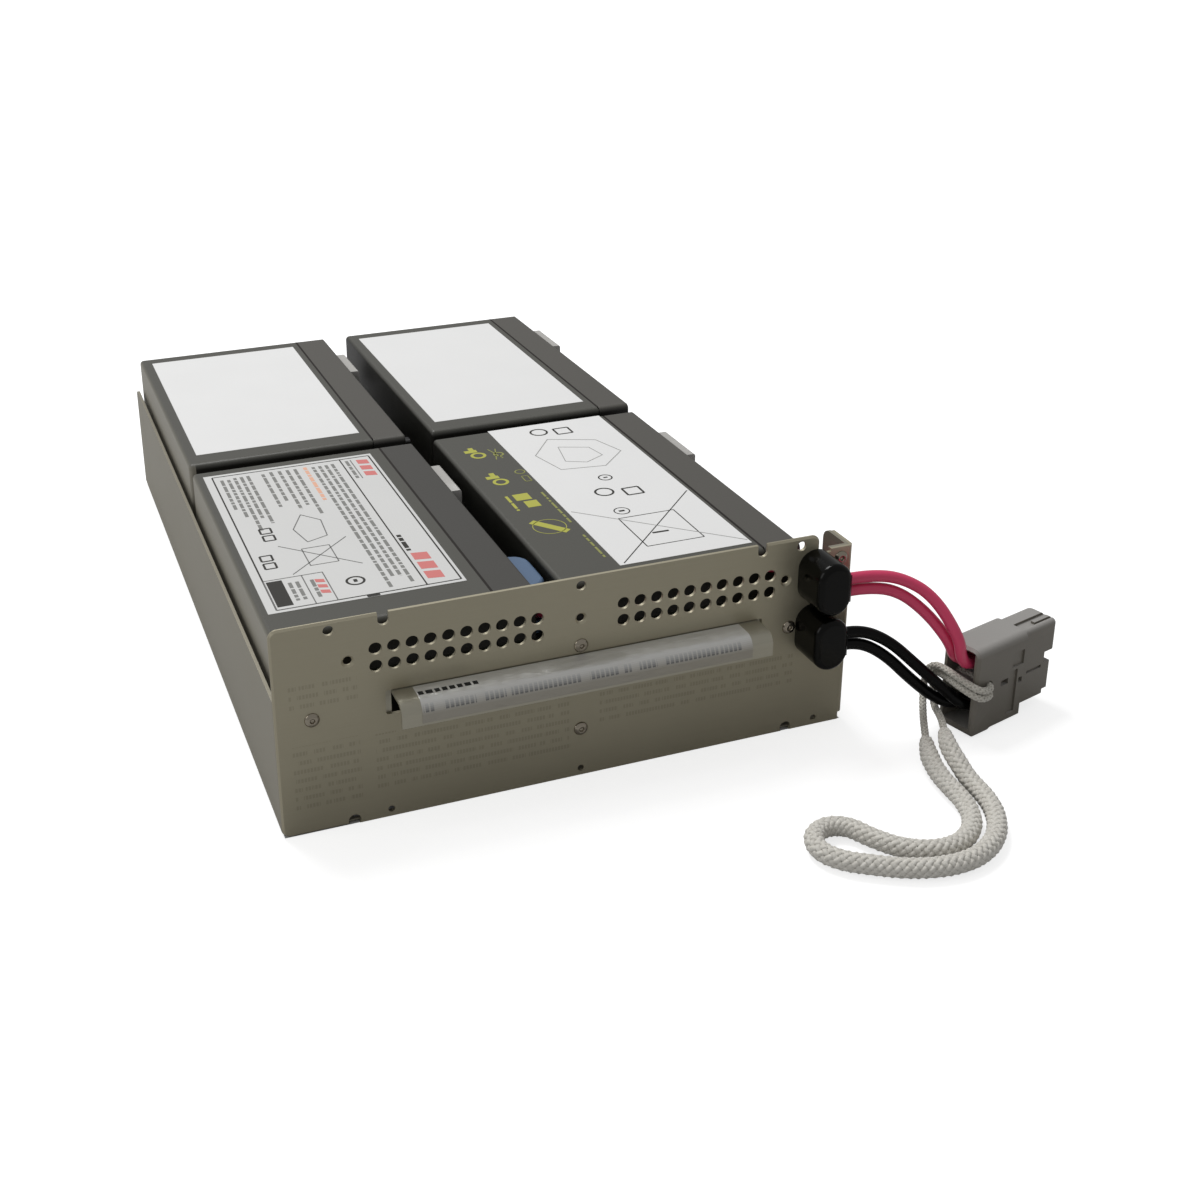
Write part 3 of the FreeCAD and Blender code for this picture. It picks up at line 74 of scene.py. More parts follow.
def closed_mesh(name, vertices, faces, smooth=False):
    """A mesh of closed shapes, with every face turned outward."""
    mesh = bpy.data.meshes.new(name)
    mesh.from_pydata(vertices, [], faces)
    tool = bmesh.new()
    tool.from_mesh(mesh)
    bmesh.ops.recalc_face_normals(tool, faces=tool.faces)
    tool.to_mesh(mesh)
    tool.free()
    mesh.polygons.foreach_set("use_smooth", [smooth] * len(mesh.polygons))
    return mesh

# %% [markdown]
# The photograph was taken with a slightly long lens from the front left, above the cartridge. The
# picture was framed off the lens axis, and a small shift of the camera's film gives that framing.

# %% Camera
def add_camera():
    data = bpy.data.cameras.new("photo_camera")
    camera = linked("photo_camera", data)
    right = Vector((0.94193, -0.33541, -0.01644))
    down = Vector((-0.13656, -0.33787, -0.93123))
    forward = Vector((0.30679, 0.87940, -0.36405))
    turn = Matrix((right, -down, -forward)).transposed()
    camera.matrix_world = Matrix.Translation(at(-75.28, -438.70, 313.05)) @ turn.to_4x4()
    data.sensor_width = 36.0
    data.lens = 47.315
    data.shift_x = 0.0843
    data.shift_y = -0.1320
    data.clip_start = 0.01
    bpy.context.scene.camera = camera
    bpy.context.scene.view_settings.view_transform = "Standard"
    return camera


camera = add_camera()
print("camera at", [round(v, 3) for v in camera.matrix_world.translation])

# %% [markdown]
# Shader trees are built from small steps: arithmetic, mixing two colours, reading the place on the
# object, noise and relief. The mixing node keeps its colours at fixed socket numbers, named here.

# %% Shader helpers
MIX_UNDER = 6
MIX_OVER = 7
MIX_RESULT = 2
WHITE = (1, 1, 1, 1)


def cleared_tree(owner):
    """The emptied node tree of a material or a world."""
    owner.use_nodes = True
    owner.node_tree.nodes.clear()
    return owner.node_tree


def feed(tree, socket, value):
    """Link a result to an input, or set the input to a number, a colour or a vector."""
    if isinstance(value, (int, float)):
        socket.default_value = value
    elif isinstance(value, tuple):
        socket.default_value = (*value, 1)[:len(socket.default_value)]
    else:
        tree.links.new(value, socket)


def math_node(tree, operation, one, two=None, clamp=False):
    """One arithmetic step between two results or numbers."""
    node = tree.nodes.new("ShaderNodeMath")
    node.operation = operation
    node.use_clamp = clamp
    feed(tree, node.inputs[0], one)
    if two is not None:
        feed(tree, node.inputs[1], two)
    return node.outputs[0]


def vector_node(tree, operation, one, two=None):
    """One step between two vectors."""
    node = tree.nodes.new("ShaderNodeVectorMath")
    node.operation = operation
    feed(tree, node.inputs[0], one)
    if two is not None:
        feed(tree, node.inputs[1], two)
    return node.outputs["Value" if operation == "LENGTH" else "Vector"]


def blend(tree, mask, under, over):
    """Two colours mixed by a mask."""
    mix = tree.nodes.new("ShaderNodeMix")
    mix.data_type = "RGBA"
    feed(tree, mix.inputs["Factor"], mask)
    feed(tree, mix.inputs[MIX_UNDER], under)
    feed(tree, mix.inputs[MIX_OVER], over)
    return mix.outputs[MIX_RESULT]


def paint(tree, shader, mask, under, over):
    """Two colours, mixed by a mask, as the finish's colour."""
    tree.links.new(blend(tree, mask, under, over), shader.inputs["Base Color"])


def place_on(tree):
    """The place on the surface, in the object's own coordinates."""
    return tree.nodes.new("ShaderNodeTexCoord").outputs["Object"]


def axes(tree, vector):
    """The x, y and z of a vector."""
    split = tree.nodes.new("ShaderNodeSeparateXYZ")
    tree.links.new(vector, split.inputs[0])
    return tuple(split.outputs)


def noise(tree, vector, scale, detail, rough=0.5):
    """A cloudy pattern between 0 and 1."""
    node = tree.nodes.new("ShaderNodeTexNoise")
    tree.links.new(vector, node.inputs["Vector"])
    feed(tree, node.inputs["Scale"], scale)
    feed(tree, node.inputs["Detail"], detail)
    feed(tree, node.inputs["Roughness"], rough)
    return node.outputs["Fac"]


def close_tree(tree, shader, kind="ShaderNodeOutputMaterial"):
    """The shader as what the material or the world shows."""
    tree.links.new(shader.outputs[0], tree.nodes.new(kind).inputs["Surface"])


def relief(tree, shader, height, strength, distance):
    """Small unevenness of the surface that follows a pattern."""
    bump = tree.nodes.new("ShaderNodeBump")
    bump.inputs["Strength"].default_value = strength
    bump.inputs["Distance"].default_value = distance
    tree.links.new(height, bump.inputs["Height"])
    tree.links.new(bump.outputs["Normal"], shader.inputs["Normal"])

# %% [markdown]
# The floor is a plain pale sheet. It keeps the cartridge's soft shadow, and only what the camera
# sees directly is lifted to white, so no extra light falls on the object. The lift grows with
# distance, and it leaves out the patch under the tray, which shows only through the small notches
# at the panel's foot.

# %% Floor
FLOOR_SIZE = 6.0
PATCH_HALF_WIDTH = 0.1055
PATCH_HALF_DEPTH = 0.1555
LIFT_NEAR = 0.74
LIFT_MORE = 0.3
LIFT_SLOPE = 0.35
LIFT_FROM = 0.5


def floor_glow(tree):
    """How strongly each spot of the floor is lifted for the camera."""
    place = place_on(tree)
    x, y, _ = axes(tree, place)
    beside = math_node(tree, "GREATER_THAN", math_node(tree, "ABSOLUTE", x), PATCH_HALF_WIDTH)
    before = math_node(tree, "GREATER_THAN", math_node(tree, "ABSOLUTE", y), PATCH_HALF_DEPTH)
    clear = math_node(tree, "MAXIMUM", beside, before)
    path = tree.nodes.new("ShaderNodeLightPath")
    seen = math_node(tree, "MULTIPLY", path.outputs["Is Camera Ray"], clear)
    away = math_node(tree, "SUBTRACT", vector_node(tree, "LENGTH", place), LIFT_FROM)
    far = math_node(tree, "MULTIPLY", away, LIFT_SLOPE, clamp=True)
    level = math_node(tree, "ADD", math_node(tree, "MINIMUM", far, LIFT_MORE), LIFT_NEAR)
    return math_node(tree, "MULTIPLY", seen, level)


def add_floor():
    mesh = bpy.data.meshes.new("studio_floor")
    corners = [(x * FLOOR_SIZE, y * FLOOR_SIZE, 0) for x, y in ((-1, -1), (1, -1), (1, 1), (-1, 1))]
    mesh.from_pydata(corners, [], [(0, 1, 2, 3)])
    floor = linked("studio_floor", mesh)
    floor.location.z = -0.0002
    material = bpy.data.materials.new("studio_floor")
    tree = cleared_tree(material)
    diffuse = tree.nodes.new("ShaderNodeBsdfDiffuse")
    diffuse.inputs["Color"].default_value = (0.50, 0.50, 0.50, 1)
    glow = tree.nodes.new("ShaderNodeEmission")
    glow.inputs["Color"].default_value = WHITE
    tree.links.new(floor_glow(tree), glow.inputs["Strength"])
    both = tree.nodes.new("ShaderNodeAddShader")
    tree.links.new(diffuse.outputs[0], both.inputs[0])
    tree.links.new(glow.outputs[0], both.inputs[1])
    close_tree(tree, both)
    mesh.materials.append(material)


add_floor()
print("floor", 2 * FLOOR_SIZE, "m wide, plain patch", 2 * PATCH_HALF_WIDTH, "x", 2 * PATCH_HALF_DEPTH)

# %% [markdown]
# The light is soft and even, as in a product picture: a pale surround, one broad lamp high behind
# the cartridge for its tops, and a weaker one from the left for its long side.

# %% Surround and lamps
SURROUND_LIGHT = 0.38
SURROUND_SEEN = 1.0


def set_surround():
    """A white surround that looks brighter than the light it gives."""
    world = bpy.data.worlds.new("studio")
    bpy.context.scene.world = world
    tree = cleared_tree(world)
    path = tree.nodes.new("ShaderNodeLightPath")
    mix = tree.nodes.new("ShaderNodeMixShader")
    tree.links.new(path.outputs["Is Camera Ray"], mix.inputs[0])
    for index, strength in ((1, SURROUND_LIGHT), (2, SURROUND_SEEN)):
        surround = tree.nodes.new("ShaderNodeBackground")
        surround.inputs["Color"].default_value = WHITE
        surround.inputs["Strength"].default_value = strength
        tree.links.new(surround.outputs[0], mix.inputs[index])
    close_tree(tree, mix, "ShaderNodeOutputWorld")


def add_lamp(name, place, target, width, power):
    data = bpy.data.lights.new(name, "AREA")
    data.shape = "SQUARE"
    data.size = width
    data.energy = power
    lamp = linked(name, data)
    lamp.location = place
    lamp.rotation_euler = (Vector(target) - Vector(place)).to_track_quat("-Z", "Y").to_euler()
    print(name, "lamp at", place, "width", width, "power", power)


set_surround()
add_lamp("overhead", (-0.2, 0.8, 1.8), (0, 0, 0), 0.9, 26)
add_lamp("left_soft", (-1.7, -0.2, 1.0), (0, 0, 0.05), 1.0, 6)

# %% [markdown]
# Every finish starts from one Principled shader with plain values. What changes over the surface
# is kept in shader groups, so each pattern is written once.

# %% Finish and group helpers
def new_finish(name, colour, rough, metal=0.0, coat=0.0, specular=0.5):
    """A material with one Principled shader; returns the material, its tree and the shader."""
    material = bpy.data.materials.new(name)
    tree = cleared_tree(material)
    shader = tree.nodes.new("ShaderNodeBsdfPrincipled")
    for label, value in (("Base Color", colour), ("Roughness", rough), ("Metallic", metal),
                         ("Coat Weight", coat), ("Specular IOR Level", specular)):
        feed(tree, shader.inputs[label], value)
    close_tree(tree, shader)
    return material, tree, shader


def shader_group(name, numbers, colours, results):
    """A group with number and colour inputs; returns it with its inner inputs and outputs."""
    group = bpy.data.node_groups.new(name, "ShaderNodeTree")
    for label in numbers:
        group.interface.new_socket(label, in_out="INPUT", socket_type="NodeSocketFloat")
    for label in colours:
        group.interface.new_socket(label, in_out="INPUT", socket_type="NodeSocketColor")
    for label in results:
        kind = "NodeSocketColor" if label == "Colour" else "NodeSocketFloat"
        group.interface.new_socket(label, in_out="OUTPUT", socket_type=kind)
    return group, group.nodes.new("NodeGroupInput").outputs, group.nodes.new("NodeGroupOutput").inputs


def group_node(tree, group, **values):
    """Place a shader group, set its inputs by name and return its outputs."""
    node = tree.nodes.new("ShaderNodeGroup")
    node.node_tree = group
    for key, value in values.items():
        feed(tree, node.inputs[key.replace("_", " ").capitalize()], value)
    return node.outputs

# %% [markdown]
# Zinc-coated sheet is rolled, so it carries faint streaks along one direction, with soft cloudy
# patches where the coating is thicker. One shader group makes both from noise on the object's own
# coordinates, and gives a colour, a roughness and a height. Noise that is drawn out along x makes
# the streaks; on the tray it isn't drawn out, which leaves an even grain.

# %% Shader group for rolled sheet
STREAKS = 2.0
EVEN_GRAIN = 60.0
STREAK_AMOUNT = 0.12
CLOUD_AMOUNT = 0.15
TONE_CONTRAST = 4.0


def build_rolled_sheet():
    group, given, result = shader_group("rolled_sheet", ("Roughness", "Run x"), ("Dark", "Light"),
                                        ("Colour", "Rough", "Height"))
    place = place_on(group)
    run = group.nodes.new("ShaderNodeCombineXYZ")
    group.links.new(given["Run x"], run.inputs["X"])
    run.inputs["Y"].default_value = EVEN_GRAIN
    run.inputs["Z"].default_value = EVEN_GRAIN
    streak = noise(group, vector_node(group, "MULTIPLY", place, run.outputs[0]), 22.0, 5.0, 0.65)
    cloud = noise(group, place, 14.0, 3.0)
    parts = [math_node(group, "MULTIPLY", math_node(group, "SUBTRACT", pattern, 0.5), amount)
             for pattern, amount in ((streak, STREAK_AMOUNT), (cloud, CLOUD_AMOUNT))]
    uneven = math_node(group, "ADD", *parts)
    tone = math_node(group, "ADD", math_node(group, "MULTIPLY", uneven, TONE_CONTRAST), 0.5, clamp=True)
    group.links.new(blend(group, tone, given["Dark"], given["Light"]), result["Colour"])
    group.links.new(math_node(group, "ADD", given["Roughness"], uneven), result["Rough"])
    group.links.new(streak, result["Height"])
    return group


ROLLED_SHEET = build_rolled_sheet()


def sheet_finish(name, dark, light, rough, metal, run=STREAKS):
    """Rolled sheet in two close greys."""
    material, tree, shader = new_finish(name, light, rough, metal)
    made = group_node(tree, ROLLED_SHEET, roughness=rough, run_x=run, dark=dark, light=light)
    tree.links.new(made["Colour"], shader.inputs["Base Color"])
    tree.links.new(made["Rough"], shader.inputs["Roughness"])
    relief(tree, shader, made["Height"], 0.02, 0.0005)
    return material


print(ROLLED_SHEET.name, "nodes", len(ROLLED_SHEET.nodes))

# %% [markdown]
# Moulded plastic has a fine sparked grain and picks up dust and light scuffs. A second group gives
# a grain height and a dust mask that is strongest where a broad noise is high.

# %% Shader group for moulded grain and dust
FINE_GRAIN = 900.0
COARSE_GRAIN = 400.0
DUST_FROM = 0.52
DUST_EDGE = 5.0


def build_moulded_grain():
    group, given, result = shader_group("moulded_grain", ("Grain size",), (), ("Height", "Dust"))
    place = place_on(group)
    group.links.new(noise(group, place, given["Grain size"], 2.0), result["Height"])
    broad = noise(group, place, 30.0, 6.0, 0.7)
    over = math_node(group, "SUBTRACT", broad, DUST_FROM)
    group.links.new(math_node(group, "MULTIPLY", over, DUST_EDGE, clamp=True), result["Dust"])
    return group


MOULDED_GRAIN = build_moulded_grain()


def plastic_finish(name, colour, dusty, rough, coat=0.0, bump=0.15, grain=FINE_GRAIN, specular=0.5):
    """Moulded plastic whose dusty places are paler."""
    material, tree, shader = new_finish(name, colour, rough, 0.0, coat, specular)
    made = group_node(tree, MOULDED_GRAIN, grain_size=grain)
    paint(tree, shader, made["Dust"], colour, dusty)
    relief(tree, shader, made["Height"], bump, 0.0002)
    return material


print(MOULDED_GRAIN.name, "nodes", len(MOULDED_GRAIN.nodes))

# %% [markdown]
# Small print reads as broken rows. A third group gives a mask of such rows inside one rectangle of
# the x and z plane: even rows by height, cut into words by a one-way noise along x, and each word
# cut into even blocks. It draws no letters.

# %% Shader group for rows of print
ROW_SHIFT = 7.31
WORD_GAPS = 0.40
BLOCKS_PER_WORD = 2.7
BLOCK_FILL = 0.7


def build_print_rows():
    group, given, result = shader_group(
        "print_rows", ("Left", "Right", "Low", "High", "Pitch", "Fill", "Word"), (), ("Mask",))
    x, _, z = axes(group, place_on(group))
    rows = math_node(group, "DIVIDE", math_node(group, "SUBTRACT", z, given["Low"]), given["Pitch"])
    shift = math_node(group, "MULTIPLY", math_node(group, "FLOOR", rows), ROW_SHIFT)
    run = math_node(group, "MULTIPLY", x, given["Word"])
    words = group.nodes.new("ShaderNodeTexNoise")
    words.noise_dimensions = "1D"
    words.inputs["Scale"].default_value = 1.0
    words.inputs["Detail"].default_value = 0.0
    group.links.new(math_node(group, "ADD", run, shift), words.inputs["W"])
    blocks = math_node(group, "FRACT", math_node(group, "MULTIPLY", run, BLOCKS_PER_WORD))
    mask = math_node(group, "LESS_THAN", math_node(group, "FRACT", rows), given["Fill"])
    for operation, value, edge in (("GREATER_THAN", words.outputs["Fac"], WORD_GAPS),
                                   ("LESS_THAN", blocks, BLOCK_FILL),
                                   ("GREATER_THAN", x, given["Left"]), ("LESS_THAN", x, given["Right"]),
                                   ("GREATER_THAN", z, given["Low"]), ("LESS_THAN", z, given["High"])):
        mask = math_node(group, "MULTIPLY", mask, math_node(group, operation, value, edge))
    group.links.new(mask, result["Mask"])
    return group


PRINT_ROWS = build_print_rows()


def printed(tree, boxes, pitch, fill, word):
    """The rows of one or more rectangles, as one mask."""
    mask = 0.0
    for left, right, low, high in boxes:
        made = group_node(tree, PRINT_ROWS, left=at(left, 0, 0).x, right=at(right, 0, 0).x, low=low * MM,
                          high=high * MM, pitch=pitch * MM, fill=fill, word=word)
        mask = math_node(tree, "MAXIMUM", mask, made["Mask"])
    return mask


print(PRINT_ROWS.name, "nodes", len(PRINT_ROWS.nodes))

# %% [markdown]
# Each helper lays one coat over the colour that a finish already has: painted light on the faces
# that look up, painted shade on the handle's plate where it shows through the vents, painted light
# on the outer left side, and faint etched rows on the panel.

# %% Coats over a finish
HANDLE_METAL = 0.7
PLAIN_SPECULAR = 0.5


def coated(material):
    """The tree, the shader and the colour that the next coat covers."""
    tree = material.node_tree
    shader = next(node for node in tree.nodes if node.type == "BSDF_PRINCIPLED")
    return tree, shader, shader.inputs["Base Color"].links[0].from_socket


def etched(material, boxes, pitch, fill, word, colour, level):
    """Faint rows of marks."""
    tree, shader, under = coated(material)
    mask = math_node(tree, "MULTIPLY", printed(tree, boxes, pitch, fill, word), level)
    paint(tree, shader, mask, under, colour)


def painted_top_light(material, colour):
    """Painted light: the faces that look up are painted paler."""
    tree, shader, under = coated(material)
    facing = tree.nodes.new("ShaderNodeNewGeometry")
    upward = math_node(tree, "MULTIPLY", axes(tree, facing.outputs["True Normal"])[2], 1.0, clamp=True)
    paint(tree, shader, upward, under, colour)


def painted_shade_above(material, height):
    """Painted shade above a height, where the handle's plate shows through the vents."""
    tree, shader, under = coated(material)
    above = math_node(tree, "GREATER_THAN", axes(tree, place_on(tree))[2], height * MM)
    below = math_node(tree, "SUBTRACT", 1.0, above)
    paint(tree, shader, above, under, (0.004, 0.004, 0.003))
    for label, value in (("Metallic", HANDLE_METAL), ("Specular IOR Level", PLAIN_SPECULAR)):
        tree.links.new(math_node(tree, "MULTIPLY", below, value), shader.inputs[label])


def painted_light_side(material, colour, beyond):
    """Painted light: the outer left side, which is the side past one x, is painted paler."""
    tree, shader, under = coated(material)
    outer = math_node(tree, "LESS_THAN", axes(tree, place_on(tree))[0], beyond * MM)
    paint(tree, shader, outer, under, colour)

# %% [markdown]
# Sheet steel is warm grey and half dull. The panel carries faint etched rows, and the edge of the
# handle's plate that shows through the vents is painted dark, as painted shade.

# %% Metal finishes
FINISH = {entry[0]: sheet_finish(*entry) for entry in (
    ("panel_steel", (0.355, 0.325, 0.235), (0.44, 0.405, 0.305), 0.44, 0.62),
    ("tray_steel", (0.24, 0.222, 0.175), (0.32, 0.30, 0.24), 0.46, 0.6, EVEN_GRAIN),
    ("handle_steel", (0.36, 0.34, 0.27), (0.48, 0.46, 0.38), 0.4, HANDLE_METAL),
    ("rivet_metal", (0.27, 0.235, 0.185), (0.42, 0.38, 0.31), 0.2, 0.95),
    ("terminal_metal", (0.5, 0.47, 0.4), (0.65, 0.62, 0.54), 0.3, 1.0),
    ("contact_metal", (0.5, 0.5, 0.48), (0.7, 0.7, 0.67), 0.25, 1.0))}
etched(FINISH["panel_steel"], [(5, 28, 48, 58), (5, 28, 10, 34), (33, 103, 12, 33), (114, 190, 20, 33)],
       3.4, 0.45, 330.0, (0.19, 0.17, 0.125), 0.3)
# Painted shade: the handle's plate is painted near-black above this height, where it shows through the vents.
painted_shade_above(FINISH["handle_steel"], 54.2)
print("metals:", list(FINISH))

# %% [markdown]
# The plastics are matt, apart from the glossy black bushings, and the wires' skin is smooth. The tops of
# the cases, the lids and the connector are painted paler as painted light, and so is the cases' outer left
# side.

# %% Plastic finishes
PLASTICS = (
    ("case_plastic", (0.015, 0.0145, 0.012), (0.022, 0.021, 0.018), 0.42, {"specular": 0.32}),
    ("lid_plastic", (0.016, 0.0155, 0.014), (0.024, 0.023, 0.02), 0.45, {"specular": 0.32}),
    ("lid_dark", (0.016, 0.0155, 0.014), (0.024, 0.023, 0.02), 0.45, {"specular": 0.32}),
    ("guard_plastic", (0.40, 0.39, 0.37), (0.5, 0.49, 0.47), 0.5, {}),
    ("sleeve_plastic", (0.02, 0.02, 0.02), (0.05, 0.05, 0.05), 0.35, {}),
    ("boot_plastic", (0.08, 0.135, 0.23), (0.11, 0.17, 0.27), 0.38, {}),
    # Black foam spacer; its near-black colour is partly painted shade for the dark gap between the blocks.
    ("foam_grey", (0.02, 0.02, 0.02), (0.035, 0.035, 0.035), 0.9, {"bump": 0.6, "grain": COARSE_GRAIN}),
    ("bushing_plastic", (0.0015, 0.0015, 0.001), (0.003, 0.003, 0.002), 0.16,
     {"bump": 0.04, "specular": 0.16}),
    ("connector_plastic", (0.17, 0.155, 0.13), (0.20, 0.185, 0.16), 0.42, {}),
    ("cable_red", (0.66, 0.045, 0.13), (0.72, 0.07, 0.16), 0.3, {"coat": 0.15, "bump": 0.03}),
    ("cable_black", (0.0015, 0.0015, 0.0015), (0.003, 0.003, 0.003), 0.28,
     {"bump": 0.03, "specular": 0.14}))
for *plain, more in PLASTICS:
    FINISH[plain[0]] = plastic_finish(*plain, **more)
# Painted light: the cases' outer left side is painted paler, as lit from the left.
painted_light_side(FINISH["case_plastic"], (0.27, 0.255, 0.21), -100.5)
# Painted light: the tops of the cases, the lids and the connector are painted paler than their sides.
for name, top_light in (("case_plastic", (0.073, 0.072, 0.062)), ("lid_plastic", (0.078, 0.074, 0.065)),
                   # The front left lid's top is painted darker than the other lids' tops.
                   ("lid_dark", (0.052, 0.050, 0.045)), ("connector_plastic", (0.31, 0.30, 0.285))):
    painted_top_light(FINISH[name], top_light)
print("plastics:", [plain[0] for *plain, more in PLASTICS])

# %% [markdown]
# The rigid CAD pieces keep their meshes and get a finish in their material slot. Pieces of one kind
# share the start of their name, and the front left lid's top is painted darker than the others'.

# %% Dress the CAD pieces
def dress(node, material):
    """Give a CAD node one finish in every slot."""
    mesh = NODES[node].data
    if not mesh.materials:
        mesh.materials.append(material)
    for index in range(len(mesh.materials)):
        mesh.materials[index] = material


WORN_BY = {
    "tray_pan": "tray_steel", "front_panel": "panel_steel", "handle_plate": "handle_steel",
    "battery_case_": "case_plastic", "battery_lid_": "lid_plastic", "terminals_": "terminal_metal",
    "lead_guard_": "guard_plastic", "foam_": "foam_grey", "bushing_": "bushing_plastic",
    "contact_": "contact_metal", "lead_red": "cable_red", "lead_black": "cable_black",
    "jumper_": "cable_black", "spade_sleeves": "sleeve_plastic", "terminal_boot": "boot_plastic",
    "connector_housing": "connector_plastic", "battery_lid_front_left": "lid_dark"}
for start, finish in WORN_BY.items():
    worn = [name for name in NODES if name.startswith(start)]
    for name in worn:
        dress(name, FINISH[finish])
    print(finish, "on", len(worn))

# %% [markdown]
# The label on the handle's hood is thin foil pressed round a bend, and it creases. Two patterns of
# different sizes, both drawn out along the hood, drive a strong relief under a half bright metal.
# One row of dark blocks stands where its line of print runs, and its top is painted pale as a painted
# highlight.

# %% Creased foil on the hood
def foil_finish():
    metal = 0.5
    material, tree, shader = new_finish("handle_foil", (0.36, 0.35, 0.32), 0.34, metal)
    wide = vector_node(tree, "MULTIPLY", place_on(tree), (0.7, 2.0, 2.0))
    crease = tree.nodes.new("ShaderNodeTexVoronoi")
    crease.feature = "DISTANCE_TO_EDGE"
    crease.inputs["Scale"].default_value = 90.0
    tree.links.new(wide, crease.inputs["Vector"])
    both = math_node(tree, "ADD", crease.outputs["Distance"], noise(tree, wide, 160.0, 4.0))
    relief(tree, shader, both, 0.45, 0.001)
    rows = printed(tree, [(47, 166, 44.7, 47.4)], 8.0, 0.32, 215.0)
    paint(tree, shader, rows, (0.34, 0.32, 0.275), (0.02, 0.02, 0.02))
    bare = math_node(tree, "SUBTRACT", 1.0, rows)
    tree.links.new(math_node(tree, "MULTIPLY", bare, metal), shader.inputs["Metallic"])
    return material


HANDLE_FOIL = foil_finish()
# Painted highlight: the hood's top is painted pale.
painted_top_light(HANDLE_FOIL, (0.74, 0.74, 0.72))
dress("handle_foil", HANDLE_FOIL)
print(HANDLE_FOIL.name, "nodes", len(HANDLE_FOIL.node_tree.nodes))

# %% [markdown]
# Label paper is coated and almost flat white, with a faint waviness from being pressed on by hand.
# The front left label is given a greyer colour than the other three. The print is laid over it as separate
# ink.

# %% Label paper
def paper_finish(name, colour):
    material, tree, shader = new_finish(name, colour, 0.45)
    wave = noise(tree, place_on(tree), 35.0, 3.0)
    relief(tree, shader, wave, 0.12, 0.001)
    shade = tuple(value * 0.96 for value in colour)
    paint(tree, shader, wave, shade, colour)
    return material


WHITE_PAPER = paper_finish("label_paper", (0.775, 0.775, 0.77))
GREY_PAPER = paper_finish("label_grey_paper", (0.64, 0.64, 0.63))
for name, paper in (("label_back_left", WHITE_PAPER), ("label_back_right", WHITE_PAPER),
                    ("label_front_right", WHITE_PAPER), ("label_front_left", GREY_PAPER)):
    dress(name, paper)
    print(name, "in", paper.name)

# %% [markdown]
# The front labels and the case beside one of them are printed. The print is drawn only as plain
# shapes: frame lines, rows of short bars where the lines of print run, rings, squares and blocks.
# These helpers give each shape as a list of flat outlines.

# %% Plain printed shapes
def bar(x0, y0, x1, y1, width):
    """A straight mark of the given width between two places."""
    run = Vector((x1 - x0, y1 - y0))
    side = Vector((-run.y, run.x)).normalized() * width / 2
    return [[(x0 + side.x, y0 + side.y), (x0 - side.x, y0 - side.y),
             (x1 - side.x, y1 - side.y), (x1 + side.x, y1 + side.y)]]


def block(x0, y0, x1, y1):
    return [[(x0, y0), (x1, y0), (x1, y1), (x0, y1)]]


def outline(corners, width):
    marks = []
    for one, two in zip(corners, corners[1:] + corners[:1]):
        marks += bar(*one, *two, width)
    return marks


def box_line(x0, y0, x1, y1, width):
    return outline([(x0, y0), (x1, y0), (x1, y1), (x0, y1)], width)


def ring(x, y, radius, width, steps=28):
    marks = []
    for i in range(steps):
        turns = [2 * math.pi * (i + k) / steps for k in (0, 1)]
        inner, outer = [[(x + reach * math.cos(turn), y + reach * math.sin(turn)) for turn in turns]
                        for reach in (radius - width / 2, radius + width / 2)]
        marks.append([inner[0], outer[0], outer[1], inner[1]])
    return marks


SHORT_WORD = 1.6
LONG_WORD = 6.5
WORD_SPACE = 0.9


def row(x, start, stop, height, seed):
    """Short bars with gaps along y, where a line of small print runs."""
    marks = []
    draw = np.random.default_rng(seed)
    y = start
    while y > stop:
        end = max(stop, y - draw.uniform(SHORT_WORD, LONG_WORD))
        marks += bar(x, y, x, end, height)
        y = end - WORD_SPACE
    return marks

# %% [markdown]
# The front left label has a frame, eighteen lines of small print, red blocks at three headings, and
# a few plain figures between them. Its print runs along the depth of the cartridge.

# %% Print on the front left label
left_black = (box_line(9.6, 33.4, 75.4, 157.8, 0.6) + bar(62.9, 33.4, 62.9, 157.8, 0.55)
              + ring(40.3, 45.6, 3.1, 0.9) + block(39.6, 44.6, 41.0, 46.8)
              + block(10.4, 35.4, 16.0, 55.4) + block(41.0, 31.6, 45.6, 33.2)
              + row(64.9, 76.8, 62.2, 1.7, 3))
for x, y in ((17.2, 96.0), (17.2, 89.4), (12.6, 72.4), (12.6, 65.8)):
    left_black += box_line(x, y, x + 4.2, y + 4.6, 0.8)
left_thin = (outline([(29.4, 96.0), (35.0, 108.4), (41.2, 101.0), (40.2, 86.4), (32.0, 83.2)], 0.4)
             + bar(20.9, 83.4, 46.3, 58.3, 0.4) + bar(46.3, 82.7, 20.9, 58.4, 0.4)
             + box_line(28.4, 63.2, 38.8, 78.0, 0.4) + box_line(9.6, 33.4, 31.0, 56.6, 0.4)
             + bar(23.4, 33.4, 23.4, 56.6, 0.4) + bar(67.0, 155.6, 67.0, 135.0, 0.4))
LEFT_ROWS = [
    (58.9, 154.3, 37.3), (56.2, 154.0, 43.6), (53.5, 154.0, 43.9), (50.7, 153.9, 36.3), (43.2, 154.6, 106.8),
    (40.0, 154.8, 116.5), (36.7, 154.8, 113.9), (33.2, 155.1, 123.8), (29.7, 154.0, 118.7),
    (23.6, 154.6, 104.8), (20.9, 154.4, 110.8), (18.2, 154.4, 99.5), (15.5, 153.3, 113.9),
    (12.8, 153.7, 122.4), (65.2, 155.2, 135.8), (20.8, 52.4, 38.0), (18.2, 52.4, 38.0), (26.0, 52.0, 38.0)]
